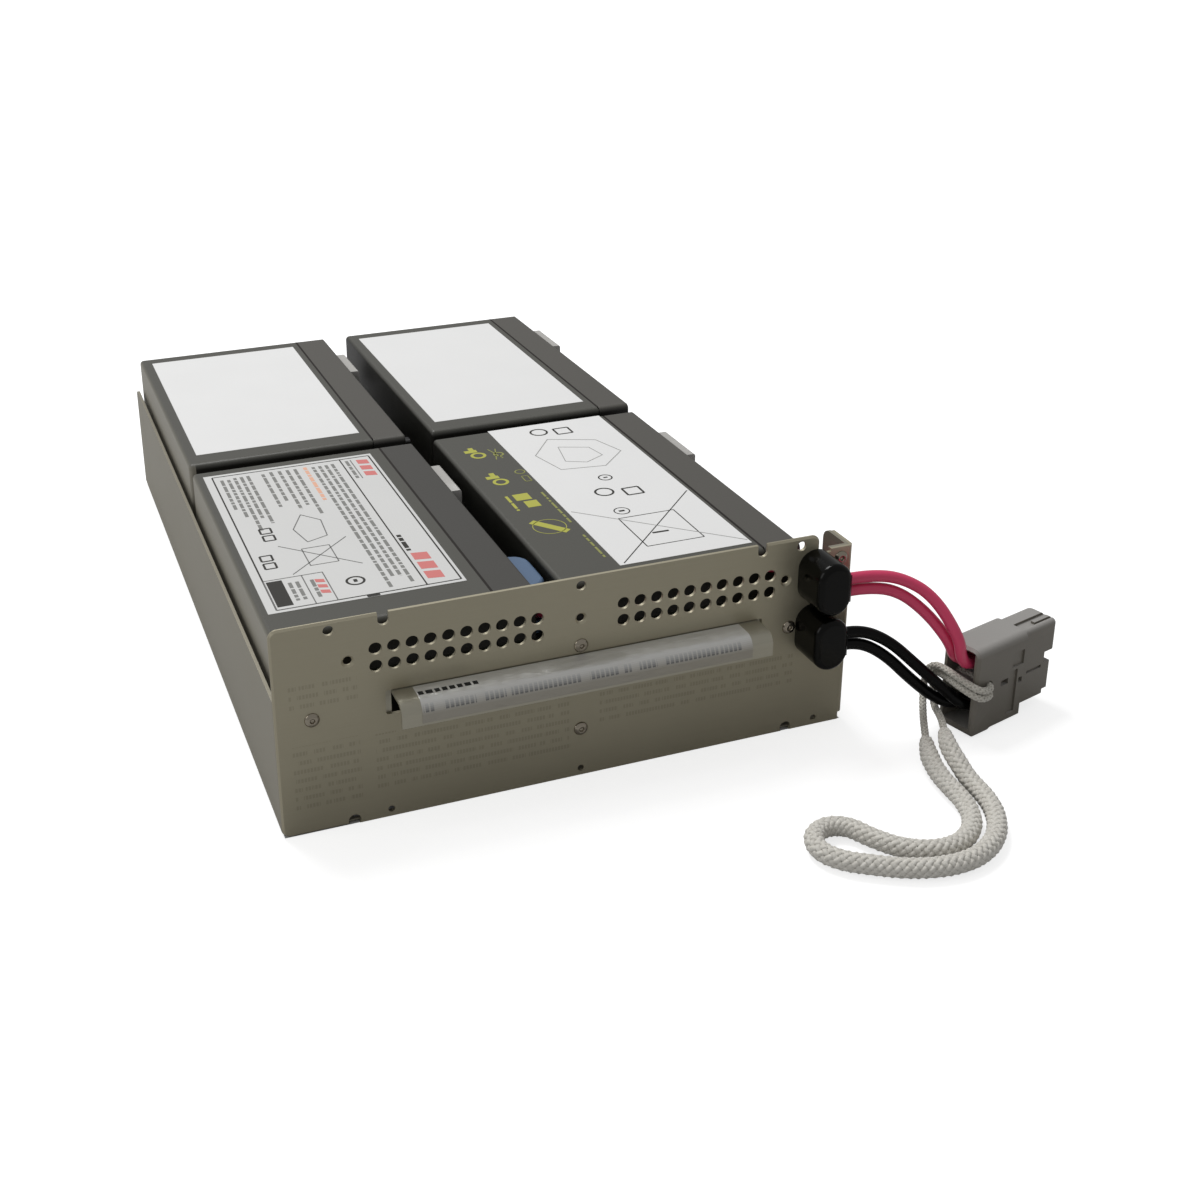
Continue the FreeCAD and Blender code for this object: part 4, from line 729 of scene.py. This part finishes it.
LEFT_BLOCKS = [
    (69.2, 155.0, 4.6, 5.6), (69.0, 148.4, 4.6, 5.6), (69.0, 141.8, 4.6, 5.6), (64.6, 60.0, 6.0, 7.0),
    (64.6, 52.0, 6.0, 7.0), (64.6, 44.0, 6.0, 7.0), (27.0, 52.0, 3.2, 3.6), (27.0, 47.6, 3.2, 3.6),
    (27.0, 43.2, 3.2, 3.6)]
left_rows = []
for seed, (x, start, stop) in enumerate(LEFT_ROWS):
    left_rows += row(x, start, stop, 1.35, seed)
left_red = [[(x, y), (x + tall, y - 1.0), (x + tall, y - wide), (x, y - wide + 1.0)]
            for x, y, tall, wide in LEFT_BLOCKS]
left_orange = row(47.4, 154.9, 118.2, 1.5, 30)
print("marks:", len(left_black), len(left_thin), len(left_rows), len(left_red), len(left_orange))

# %% [markdown]
# The front right label carries large thin figures, drawn here as plain polygons, rings, squares
# and crossing lines. The case beside it is printed in olive with smaller shapes of the same kinds.

# %% Print on the front right label and its case
right_black = (ring(151.6, 156.2, 3.6, 0.9) + box_line(158.6, 150.8, 165.4, 157.6, 0.9)
               + ring(152.2, 85.6, 3.6, 0.9) + box_line(159.8, 79.2, 166.6, 86.0, 0.9)
               + ring(158.4, 99.0, 2.7, 0.6) + block(157.6, 98.6, 159.4, 99.6)
               + ring(151.2, 66.2, 3.0, 0.5) + block(150.0, 65.6, 152.4, 66.9)
               + bar(153.6, 43.6, 160.2, 43.4, 1.2) + bar(183.0, 74.9, 133.4, 23.9, 0.45)
               + box_line(147.0, 33.6, 170.0, 60.0, 0.45))
right_thin = (outline([(152, 147), (171, 139), (176, 123.4), (163.7, 110.7), (145, 113.3),
                       (140.6, 131.3)], 0.4)
              + outline([(153, 137), (165, 132), (167, 122), (158, 117), (150, 121)], 0.35)
              + bar(132.8, 72.6, 183.4, 25.4, 0.4))
olive = (ring(118.6, 140.8, 2.7, 1.3) + block(114.2, 144.6, 119.6, 147.4)
         + block(116.6, 147.4, 118.8, 150.0) + ring(117.8, 110.6, 2.7, 1.3)
         + block(113.4, 114.6, 118.8, 117.4) + block(115.8, 117.4, 118.0, 120.6)
         + block(117.2, 90.2, 123.6, 96.4) + block(119.2, 82.6, 124.6, 88.8) + row(114.6, 95.9, 81.2, 1.2, 41)
         + bar(115.2, 69.6, 125.4, 57.0, 3.4) + ring(120.3, 63.3, 6.4, 0.3))
olive_thin = (ring(127.0, 139.2, 1.9, 0.8) + bar(124.4, 146.0, 127.4, 134.6, 0.5)
              + bar(127.6, 145.4, 124.2, 133.8, 0.5) + box_line(127.4, 107.4, 130.0, 113.0, 0.4)
              + ring(128.6, 117.8, 2.0, 0.5) + row(129.2, 94.8, 63.8, 0.9, 43)
              + row(129.2, 51.8, 31.3, 0.9, 44))
print("marks:", len(right_black), len(right_thin), len(olive), len(olive_thin))

# %% [markdown]
# Dark dirt fills the weld seam between each case and its lid, and a short run of dark blocks on top
# of the hood stands for the heading of its label. Both are thin films like the print.

# %% Seam dirt and the hood's heading
def seam_marks():
    """One dark line along the edge of each lid that meets its case."""
    marks = []
    for name in NODES:
        if name.startswith("battery_lid_"):
            places = np.array([v.co[:] for v in NODES[name].data.vertices]) / MM
            x = places[:, 0].min() + 0.3 + PANEL_WIDTH / 2
            front = places[:, 1].min() + 2 + MIDDLE_DEPTH
            back = places[:, 1].max() - 2 + MIDDLE_DEPTH
            marks += bar(x, front, x, back, 0.95)
    return marks


def heading_marks():
    marks = []
    draw = np.random.default_rng(12)
    x = 47.0
    while x < 68.0:
        end = x + draw.uniform(1.6, 2.4)
        marks += bar(x, -5.4, end, -5.4, 2.2)
        x = end + 0.8
    return marks


seam_lines = seam_marks()
heading = heading_marks()
print("marks:", len(seam_lines), len(heading))

# %% [markdown]
# Ink is a film on the surface, so each colour is one mesh of thin closed plates that lie on the
# label or the case. Fine lines that cross others lie a hair higher, so no two faces coincide. The
# table gives each film its name, its slot, its marks, the height of its top and its colour.

# %% Laying ink
INK_THICK = 0.04
LABEL_INK_Z = 67.39
CASE_INK_Z = 67.24
CROSSING_LIFT = 0.02
HOOD_TOP_Z = 48.60
INK_BLACK = (0.035, 0.034, 0.03)


def lay_ink(name, slot, marks, height, colour):
    """One mesh of thin plates, with their tops at a height above the floor."""
    vertices = []
    faces = []
    for mark in marks:
        first = len(vertices)
        count = len(mark)
        vertices += [at(x, y, height) for x, y in mark]
        vertices += [at(x, y, height - INK_THICK) for x, y in mark]
        faces.append(tuple(first + i for i in range(count)))
        faces.append(tuple(first + count + i for i in reversed(range(count))))
        for i in range(count):
            k = (i + 1) % count
            faces.append((first + i, first + count + i, first + count + k, first + k))
    piece = linked(name, closed_mesh(name, vertices, faces))
    piece.data.materials.append(new_finish(name, colour, 0.6, specular=0.2)[0])
    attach(piece, "root")
    print(name, "marks", len(marks))


for film in (
        ("ink_left_black", "label_left", left_black, LABEL_INK_Z, INK_BLACK),
        ("ink_left_thin", "label_left", left_thin, LABEL_INK_Z + CROSSING_LIFT, (0.16, 0.16, 0.155)),
        ("ink_left_rows", "label_left", left_rows, LABEL_INK_Z, (0.22, 0.22, 0.21)),
        ("ink_left_red", "label_left", left_red, LABEL_INK_Z, (0.62, 0.20, 0.19)),
        ("ink_left_orange", "label_left", left_orange, LABEL_INK_Z, (0.74, 0.42, 0.30)),
        ("seam_dirt", "lid_plastic", seam_lines, CASE_INK_Z, (0.012, 0.009, 0.007)),
        ("ink_right_black", "label_right", right_black, LABEL_INK_Z, INK_BLACK),
        ("ink_foil_heading", "handle_foil", heading, HOOD_TOP_Z, (0.02, 0.02, 0.02)),
        ("ink_right_thin", "label_right", right_thin, LABEL_INK_Z + CROSSING_LIFT, (0.34, 0.34, 0.33)),
        ("ink_case_olive", "case_plastic", olive, CASE_INK_Z, (0.42, 0.42, 0.08)),
        ("ink_case_thin", "case_plastic", olive_thin, CASE_INK_Z + CROSSING_LIFT, (0.27, 0.28, 0.09))):
    lay_ink(*film)

# %% [markdown]
# The cables leave the bushings to the right and drop in a soft arc to the connector. The connector
# lies turned on the floor, so the ends of their routes are counted in its own frame. Each wire is
# one smooth curve through its route's control points, with a round section.

# %% Wires
PLUG_TURN = math.radians(15.0)
PLUG_CORNER = (248.7, -29.7)
CABLE_BORE = 4.3
CURVE_STEPS = 16


def plug_at(u, v, z):
    """A place in the connector's own frame, counted from the panel's corner, in millimetres."""
    x = PLUG_CORNER[0] + u * math.cos(PLUG_TURN) - v * math.sin(PLUG_TURN)
    y = PLUG_CORNER[1] + u * math.sin(PLUG_TURN) + v * math.cos(PLUG_TURN)
    return (x, y, z)


def whole_route(free, beside_plug):
    """The free points of a route, then its points in the connector's frame."""
    return free + [plug_at(*point) for point in beside_plug]


def route_curve(name, points, bore=0.0):
    """An open NURBS curve through control points in millimetres from the panel's corner."""
    data = bpy.data.curves.new(name, "CURVE")
    data.dimensions = "3D"
    spline = data.splines.new("NURBS")
    spline.points.add(len(points) - 1)
    for control, point in zip(spline.points, points):
        control.co = (*at(*point), 1)
    spline.order_u = 3
    spline.use_endpoint_u = True
    spline.resolution_u = CURVE_STEPS
    data.resolution_u = CURVE_STEPS
    if bore:
        data.bevel_depth = bore * MM / 2
        data.bevel_resolution = 6
        data.use_fill_caps = True
    return linked(name, data)


def wire(name, points):
    """One insulated wire along its route, in place of its plain tube."""
    red = "red" in name
    piece = route_curve(name + "_soft", points, CABLE_BORE)
    skin = "cable_red" if red else "cable_black"
    piece.data.materials.append(FINISH[skin])
    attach(piece, "root")
    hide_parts(name)
    print(name, "made with", len(points), "control points")
    return piece, red

# %% [markdown]
# Four outer cables, two of each colour, run from the bushings' outlets into the connector's two
# cavities. Each pair hangs side by side with slightly different sag. A route is a list of free
# points and a list of points in the connector's frame.

# %% Outer cables
CABLE_ROUTES = {
    "cable_red_1": (
        [(205.5, -8, 62.65), (214.5, -8, 62.65), (226.5, -10.6, 60.6), (236.6, -16.2, 54)],
        [(-5, 5.8, 40.6), (-3.2, 5.8, 31.8), (1.6, 5.8, 27.2), (12, 5.8, 27.2)]),
    "cable_red_2": (
        [(205.5, -8, 57.95), (213.5, -8, 57.95), (225, -10.4, 55.8), (234.6, -15.2, 47.6)],
        [(-5, 10.2, 37.6), (-1.6, 10.2, 30.4), (3.6, 10.2, 27.2), (12, 10.2, 27.2)]),
    "cable_black_1": (
        [(205.5, -8, 41.15), (212.5, -8, 41.15), (223, -11, 36), (231.5, -16, 27.3), (239.4, -21, 19.2)],
        [(-0.9, 5.8, 12.3), (5.6, 5.8, 9.6), (12, 5.8, 9.6)]),
    "cable_black_2": (
        [(205.5, -8, 36.45), (211.8, -8, 36.45), (221.5, -10.8, 30.8), (231, -15.4, 20.4), (239.3, -18, 13)],
        [(-0.6, 10.2, 10.4), (6, 10.2, 9.6), (12, 10.2, 9.6)]),
}


def make_cables():
    for name, route in CABLE_ROUTES.items():
        points = whole_route(*route)
        piece, red = wire(name, points)


make_cables()

# %% [markdown]
# Inside the tray the leads run from the batteries' tabs, along the gap between the blocks, and
# behind the panel to the bushings. They are the same wire as the outer cables. The red lead that
# crosses behind the panel keeps above the line of sight through most of the vents.

# %% Inner leads
LEAD_ROUTES = {
    "lead_red_left": [
        (100.5, 27.7, 53.2), (100.8, 22.0, 54.2), (102.0, 17.2, 59.6), (108.5, 15.2, 61.9),
        (126.5, 15.6, 61.9), (150, 15.2, 61.7), (174, 15.6, 61.6), (186, 14.6, 61.2), (192.8, 12.3, 59.95),
        (197, 9.2, 59.95), (197, 3.6, 59.95)],
    "lead_black_left": [
        (100.5, 302.8, 53.2), (100.5, 293.4, 53.2), (100.8, 283.4, 44.2), (100.2, 271.4, 34.2),
        (101, 247.4, 30.2), (100.3, 201.4, 31.7), (100.9, 155.4, 30.2), (100.3, 109.4, 31.7),
        (100.8, 72, 30.2), (100.5, 42, 31.7), (101.1, 24, 32.8), (104.1, 12.8, 34.2), (114.5, 11.4, 35.2),
        (140, 12.3, 35.8), (168, 11, 37.3), (186, 12.4, 37.8), (192.8, 12.2, 38.45), (197, 9.2, 38.45),
        (197, 3.6, 38.45)],
    "lead_red_right": [
        (204, 33.1, 53.2), (204, 26.3, 53.2), (204.8, 18.8, 56.2), (202.8, 12.6, 63.05), (197, 9.2, 64.65),
        (197, 3.6, 64.65)],
    "lead_black_right": [
        (206.2, 302.8, 53.2), (206.2, 293.4, 53.2), (206.5, 283.4, 44.2), (206.2, 271.4, 34.2),
        (206.8, 247.4, 30.2), (206.3, 201.4, 31.7), (206.8, 155.4, 30.2), (206.3, 109.4, 31.7),
        (206.8, 72, 30.2), (206.5, 44, 32.2), (206.1, 28, 37.2), (205.7, 17.6, 42.55), (202.5, 12.4, 43.15),
        (197, 9.2, 43.15), (197, 3.6, 43.15)],
    "jumper_left": [
        (100.5, 149.3, 53.2), (100.5, 157.3, 53.2), (100.8, 170.55, 50.2), (100.5, 183.8, 53.2),
        (100.5, 191.8, 53.2)],
    "jumper_right": [
        (204, 149.3, 53.2), (204, 157.3, 53.2), (205.4, 170.55, 50.2), (206.2, 183.8, 53.2),
        (206.2, 191.8, 53.2)],
}


def make_leads():
    for name, points in LEAD_ROUTES.items():
        piece, _ = wire(name, points)


make_leads()

# %% [markdown]
# A braid is two sets of yarns that wind in opposite directions and pass over and under each other.
# Each yarn is a swept oval that follows the cord's middle line, so this cell gives the line at even
# steps, with a heading and two crosswise directions at each, and sweeps one yarn.

# %% Middle line and one yarn
YARN_CORNERS = 6
CORE_CORNERS = 10


def centre_line(name, points):
    """Points along the smooth curve of a route, as an array in metres."""
    piece = route_curve(name, points)
    mesh = bpy.data.meshes.new_from_object(piece)
    line = np.array([v.co[:] for v in mesh.vertices])
    bpy.data.meshes.remove(mesh)
    bpy.data.objects.remove(piece)
    return line


def even_steps(line, step):
    """The same path with points an even distance apart, and how far along each one lies."""
    gaps = np.linalg.norm(np.diff(line, axis=0), axis=1)
    along = np.concatenate([[0], np.cumsum(gaps)])
    count = max(2, int(along[-1] / step))
    wanted = np.linspace(0, along[-1], count)
    return np.stack([np.interp(wanted, along, line[:, axis]) for axis in range(3)], axis=1), wanted


def unit(vectors):
    """The same directions, each one long."""
    return vectors / np.linalg.norm(vectors, axis=1)[:, None]


def crosswise(line):
    """Two crosswise directions at each point, without sudden turns."""
    heading = unit(np.gradient(line, axis=0))
    side = np.cross(heading[0], [0, 0, 1.0])
    sides = []
    for direction in heading:
        side = side - direction * side.dot(direction)
        side /= np.linalg.norm(side)
        sides.append(side)
    sides = np.array(sides)
    return sides, np.cross(heading, sides)


def swept_yarn(middle, out, across, half_out, half_across, corners):
    """Rings of an oval section along a path, and the faces that join them."""
    turns = np.linspace(0, 2 * math.pi, corners, endpoint=False)
    rings = (middle[:, None] + out[:, None] * (np.cos(turns) * half_out)[None, :, None]
             + across[:, None] * (np.sin(turns) * half_across)[None, :, None])
    count = len(middle)
    faces = []
    for i in range(count - 1):
        for j in range(corners):
            k = (j + 1) % corners
            faces.append((i * corners + j, i * corners + k, (i + 1) * corners + k, (i + 1) * corners + j))
    faces.append(tuple(range(corners - 1, -1, -1)))
    faces.append(tuple((count - 1) * corners + j for j in range(corners)))
    return rings.reshape(-1, 3), faces

# %% [markdown]
# A yarn's distance from the cord's middle swings by the yarn's thickness, and the two sets swing in
# opposite ways, so at each crossing one of them is outside. The rope's ends thin out to the strings.

# %% Braided cord
THIN_END = 0.62


def wound_cord(name, points, yarns, pitch, middle_radius, swing, half_out, half_across, step, core,
               taper=0.0):
    """A cord of yarns wound both ways round its route, as one mesh."""
    line, along = even_steps(centre_line(name, points), step * MM)
    side, up = crosswise(line)
    scale = np.ones(len(line))
    if taper:
        ends = np.minimum(along, along[-1] - along) / (taper * MM)
        scale = THIN_END + (1 - THIN_END) * np.clip(ends, 0, 1) ** 0.6
    spin = 2 * math.pi * along / (pitch * MM)
    swept = []
    for way in (1, -1):
        for yarn in range(yarns):
            angle = 2 * math.pi * yarn / yarns + way * spin
            radius = (middle_radius + way * swing * np.cos(yarns * spin)) * scale * MM
            out = side * np.cos(angle)[:, None] + up * np.sin(angle)[:, None]
            path = line + out * radius[:, None]
            run = unit(np.gradient(path, axis=0))
            across = unit(np.cross(run, out))
            outward = np.cross(across, run)
            swept.append(swept_yarn(path, outward * scale[:, None], across * scale[:, None], half_out * MM,
                                    half_across * MM, YARN_CORNERS))
    swept.append(swept_yarn(line, side * scale[:, None], up * scale[:, None], core * MM, core * MM,
                            CORE_CORNERS))
    faces = []
    start = 0
    for ring_points, joined in swept:
        faces += [tuple(index + start for index in face) for face in joined]
        start += len(ring_points)
    vertices = np.concatenate([ring_points for ring_points, _ in swept]).tolist()
    piece = linked(name, closed_mesh(name, vertices, faces, smooth=True))
    print(name, "faces", len(faces), "length", round(float(along[-1]) / MM, 1))
    return piece, line


# %% [markdown]
# Off-white yarn is not one colour: dust settles between the strands, and the fibres scatter light.
# The finish mixes two warm whites by noise and uses sheen for the soft rim.

# %% Yarn finish
def yarn_finish(name, dark, light, grain):
    material, tree, shader = new_finish(name, light, 0.85, specular=0.2)
    shader.inputs["Sheen Weight"].default_value = 0.25
    fibre = noise(tree, place_on(tree), grain, 4.0)
    paint(tree, shader, fibre, dark, light)
    relief(tree, shader, fibre, 0.4, 0.0003)
    return material


ROPE_YARN = yarn_finish("rope_yarn", (0.50, 0.48, 0.43), (0.78, 0.76, 0.71), 700.0)
STRING_YARN = yarn_finish("string_yarn", (0.42, 0.40, 0.35), (0.68, 0.66, 0.60), 900.0)
dress("string_knot", STRING_YARN)
print("yarns:", ROPE_YARN.name, STRING_YARN.name)

# %% [markdown]
# The two strings leave the rope's ends, pass behind the black cables, and run along the connector
# into its hole, where a knot holds them. The rope itself lies on the floor in a folded loop.

# %% Pull strings and rope
STRING_ROUTES = {
    "pull_string_1": (
        [(227.6, -31.6, 5.6), (230.6, -25.8, 6.9), (234.2, -19.6, 7.9), (237.8, -13.6, 10.2),
         (240.2, -10.2, 15), (240.7, -10.5, 20.8), (242.2, -13.8, 24), (243.3, -19.6, 24.1)],
        [(-2.9, 0.7, 22.7), (-0.3, -2.3, 21), (2.5, -2.1, 20.1), (5.2, -2.05, 19.9), (7.15, -0.05, 19.95),
         (7.25, 4.2, 19.85), (7.05, 8.2, 19.95), (7.1, 12.3, 19.9), (7.1, 16, 19.9)]),
    "pull_string_2": (
        [(233.2, -34.2, 9.1), (236.2, -28.4, 9.5), (239, -22.2, 8.6), (241.2, -16.2, 7.8),
         (243.6, -11.4, 10.6), (244.2, -10.4, 15.6), (242.9, -12.2, 20.5), (243.3, -18.6, 21.1)],
        [(-2.9, 0.6, 19.5), (-0.4, -2.35, 17.8), (2.5, -2.15, 17.1), (5.2, -2.05, 17), (7.15, -0.05, 17.05),
         (7.25, 4.2, 16.95), (7.05, 8.2, 17.05), (7.1, 12.3, 17), (7.1, 16, 17)]),
}
ROPE_ROUTE = [
    (227.6, -31.6, 5.6), (224.62, -37.37, 4.31), (221.6, -46.2, 3.7), (220, -56, 3.7), (219.6, -66, 3.7),
    (216.6, -75.4, 3.7), (210.6, -82.6, 3.7), (202.6, -86.4, 3.7), (193.6, -86, 3.7), (184.8, -81, 3.7),
    (179, -72.6, 3.7), (175.6, -64.8, 3.7), (168.4, -62, 3.7), (161.4, -65.6, 3.7), (159.6, -73.4, 3.7),
    (164, -80.4, 3.7), (171.4, -85.4, 3.7), (181, -91.2, 3.7), (193, -94.8, 3.7), (205.4, -94.2, 3.7),
    (216.8, -88, 3.7), (224.6, -77.6, 3.7), (228, -66.4, 3.7), (228.4, -56.6, 3.7), (229, -47.8, 6.6),
    (229.75, -40.86, 8.64), (233.2, -34.2, 9.1)]


def make_strings():
    for name, route in STRING_ROUTES.items():
        points = whole_route(*route)
        piece, line = wound_cord(name + "_soft", points, yarns=4, pitch=7.0, middle_radius=1.08, swing=0.1,
                                 half_out=0.24, half_across=0.46, step=0.5, core=0.95)
        piece.data.materials.append(STRING_YARN)
        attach(piece, "root")
        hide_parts(name)


def make_rope():
    piece, line = wound_cord("pull_rope_soft", ROPE_ROUTE, yarns=7, pitch=18.0, middle_radius=2.66,
                             swing=0.32, half_out=0.5, half_across=0.92, step=0.6, core=2.3, taper=9.0)
    piece.data.materials.append(ROPE_YARN)
    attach(piece, "root")
    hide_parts("pull_rope")


make_strings()
make_rope()

# %% [markdown]
# Blind rivets hold the sheets together. Each has a low dome, and the broken mandrel leaves a small
# dark pit in the middle. The head and its shank are one half outline spun about the rivet's axis.

# %% A rivet's shape
HEAD_PROFILE = [(0.0, -0.15), (0.62, -0.15), (0.84, -0.42), (0.88, -1.02), (1.0, -1.1), (1.35, -1.08),
                (1.9, -0.86), (2.4, -0.42), (2.6, -0.12), (2.6, 0.0), (1.58, 0.02), (1.58, 2.42), (2.2, 2.5),
                (2.2, 3.5), (1.1, 4.6), (0.0, 4.6)]
HEAD_STEPS = 28


def turned_head():
    """The half outline, as radius and depth, spun about the axis that runs out of the panel."""
    vertices = []
    rings = []
    for radius, depth in HEAD_PROFILE:
        count = HEAD_STEPS if radius else 1
        rings.append(range(len(vertices), len(vertices) + count))
        for i in range(count):
            turn = 2 * math.pi * i / count
            vertices.append((radius * MM * math.cos(turn), depth * MM, radius * MM * math.sin(turn)))
    faces = []
    for one, two in zip(rings, rings[1:]):
        for i in range(HEAD_STEPS):
            k = (i + 1) % HEAD_STEPS
            if len(one) == 1:
                faces.append((one[0], two[i], two[k]))
            elif len(two) == 1:
                faces.append((one[i], two[0], one[k]))
            else:
                faces.append((one[i], two[i], two[k], one[k]))
    return linked("rivet_head", closed_mesh("rivet_head", vertices, faces, smooth=True))

# %% [markdown]
# Five holes take the same rivet. Geometry Nodes put one copy of the head on each hole and make the
# copies real, so the rivets are one plain mesh and the head's shape is written once.

# %% Rivets by Geometry Nodes
RIVETS = [(12.4, 43.0), (187.6, 43.0), (107.0, 51.7), (107.0, 18.9), (207.4, 67.2)]


def place_tree(name, material):
    """A node tree that puts one object on every point, and the key of its shape input."""
    tree = bpy.data.node_groups.new(name, "GeometryNodeTree")
    tree.interface.new_socket("Points", in_out="INPUT", socket_type="NodeSocketGeometry")
    shape = tree.interface.new_socket("Shape", in_out="INPUT", socket_type="NodeSocketObject")
    tree.interface.new_socket("Result", in_out="OUTPUT", socket_type="NodeSocketGeometry")
    inside, outside, info, copies, real, coat = [tree.nodes.new(kind) for kind in (
        "NodeGroupInput", "NodeGroupOutput", "GeometryNodeObjectInfo", "GeometryNodeInstanceOnPoints",
        "GeometryNodeRealizeInstances", "GeometryNodeSetMaterial")]
    coat.inputs["Material"].default_value = material
    tree.links.new(inside.outputs["Points"], copies.inputs["Points"])
    tree.links.new(inside.outputs["Shape"], info.inputs["Object"])
    tree.links.new(info.outputs["Geometry"], copies.inputs["Instance"])
    tree.links.new(copies.outputs[0], real.inputs[0])
    tree.links.new(real.outputs[0], coat.inputs["Geometry"])
    tree.links.new(coat.outputs[0], outside.inputs[0])
    return tree, shape.identifier


def copies_at(name, places, shape, material):
    """A plain mesh of copies of one shape at the given places."""
    tree, shape_key = place_tree(name + "_tree", material)
    mesh = bpy.data.meshes.new(name + "_points")
    mesh.from_pydata(places, [], [])
    carrier = linked(name + "_points", mesh)
    modifier = carrier.modifiers.new("copies", "NODES")
    modifier.node_group = tree
    modifier[shape_key] = shape
    graph = bpy.context.evaluated_depsgraph_get()
    made = bpy.data.meshes.new_from_object(carrier.evaluated_get(graph))
    bpy.data.objects.remove(carrier)
    bpy.data.objects.remove(shape)
    print(name, "faces", len(made.polygons))
    return linked(name, made)


def make_rivets():
    piece = copies_at("rivet_heads", [at(x, 0, z) for x, z in RIVETS], turned_head(), FINISH["rivet_metal"])
    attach(piece, "root")
    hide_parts("panel_rivets")


make_rivets()
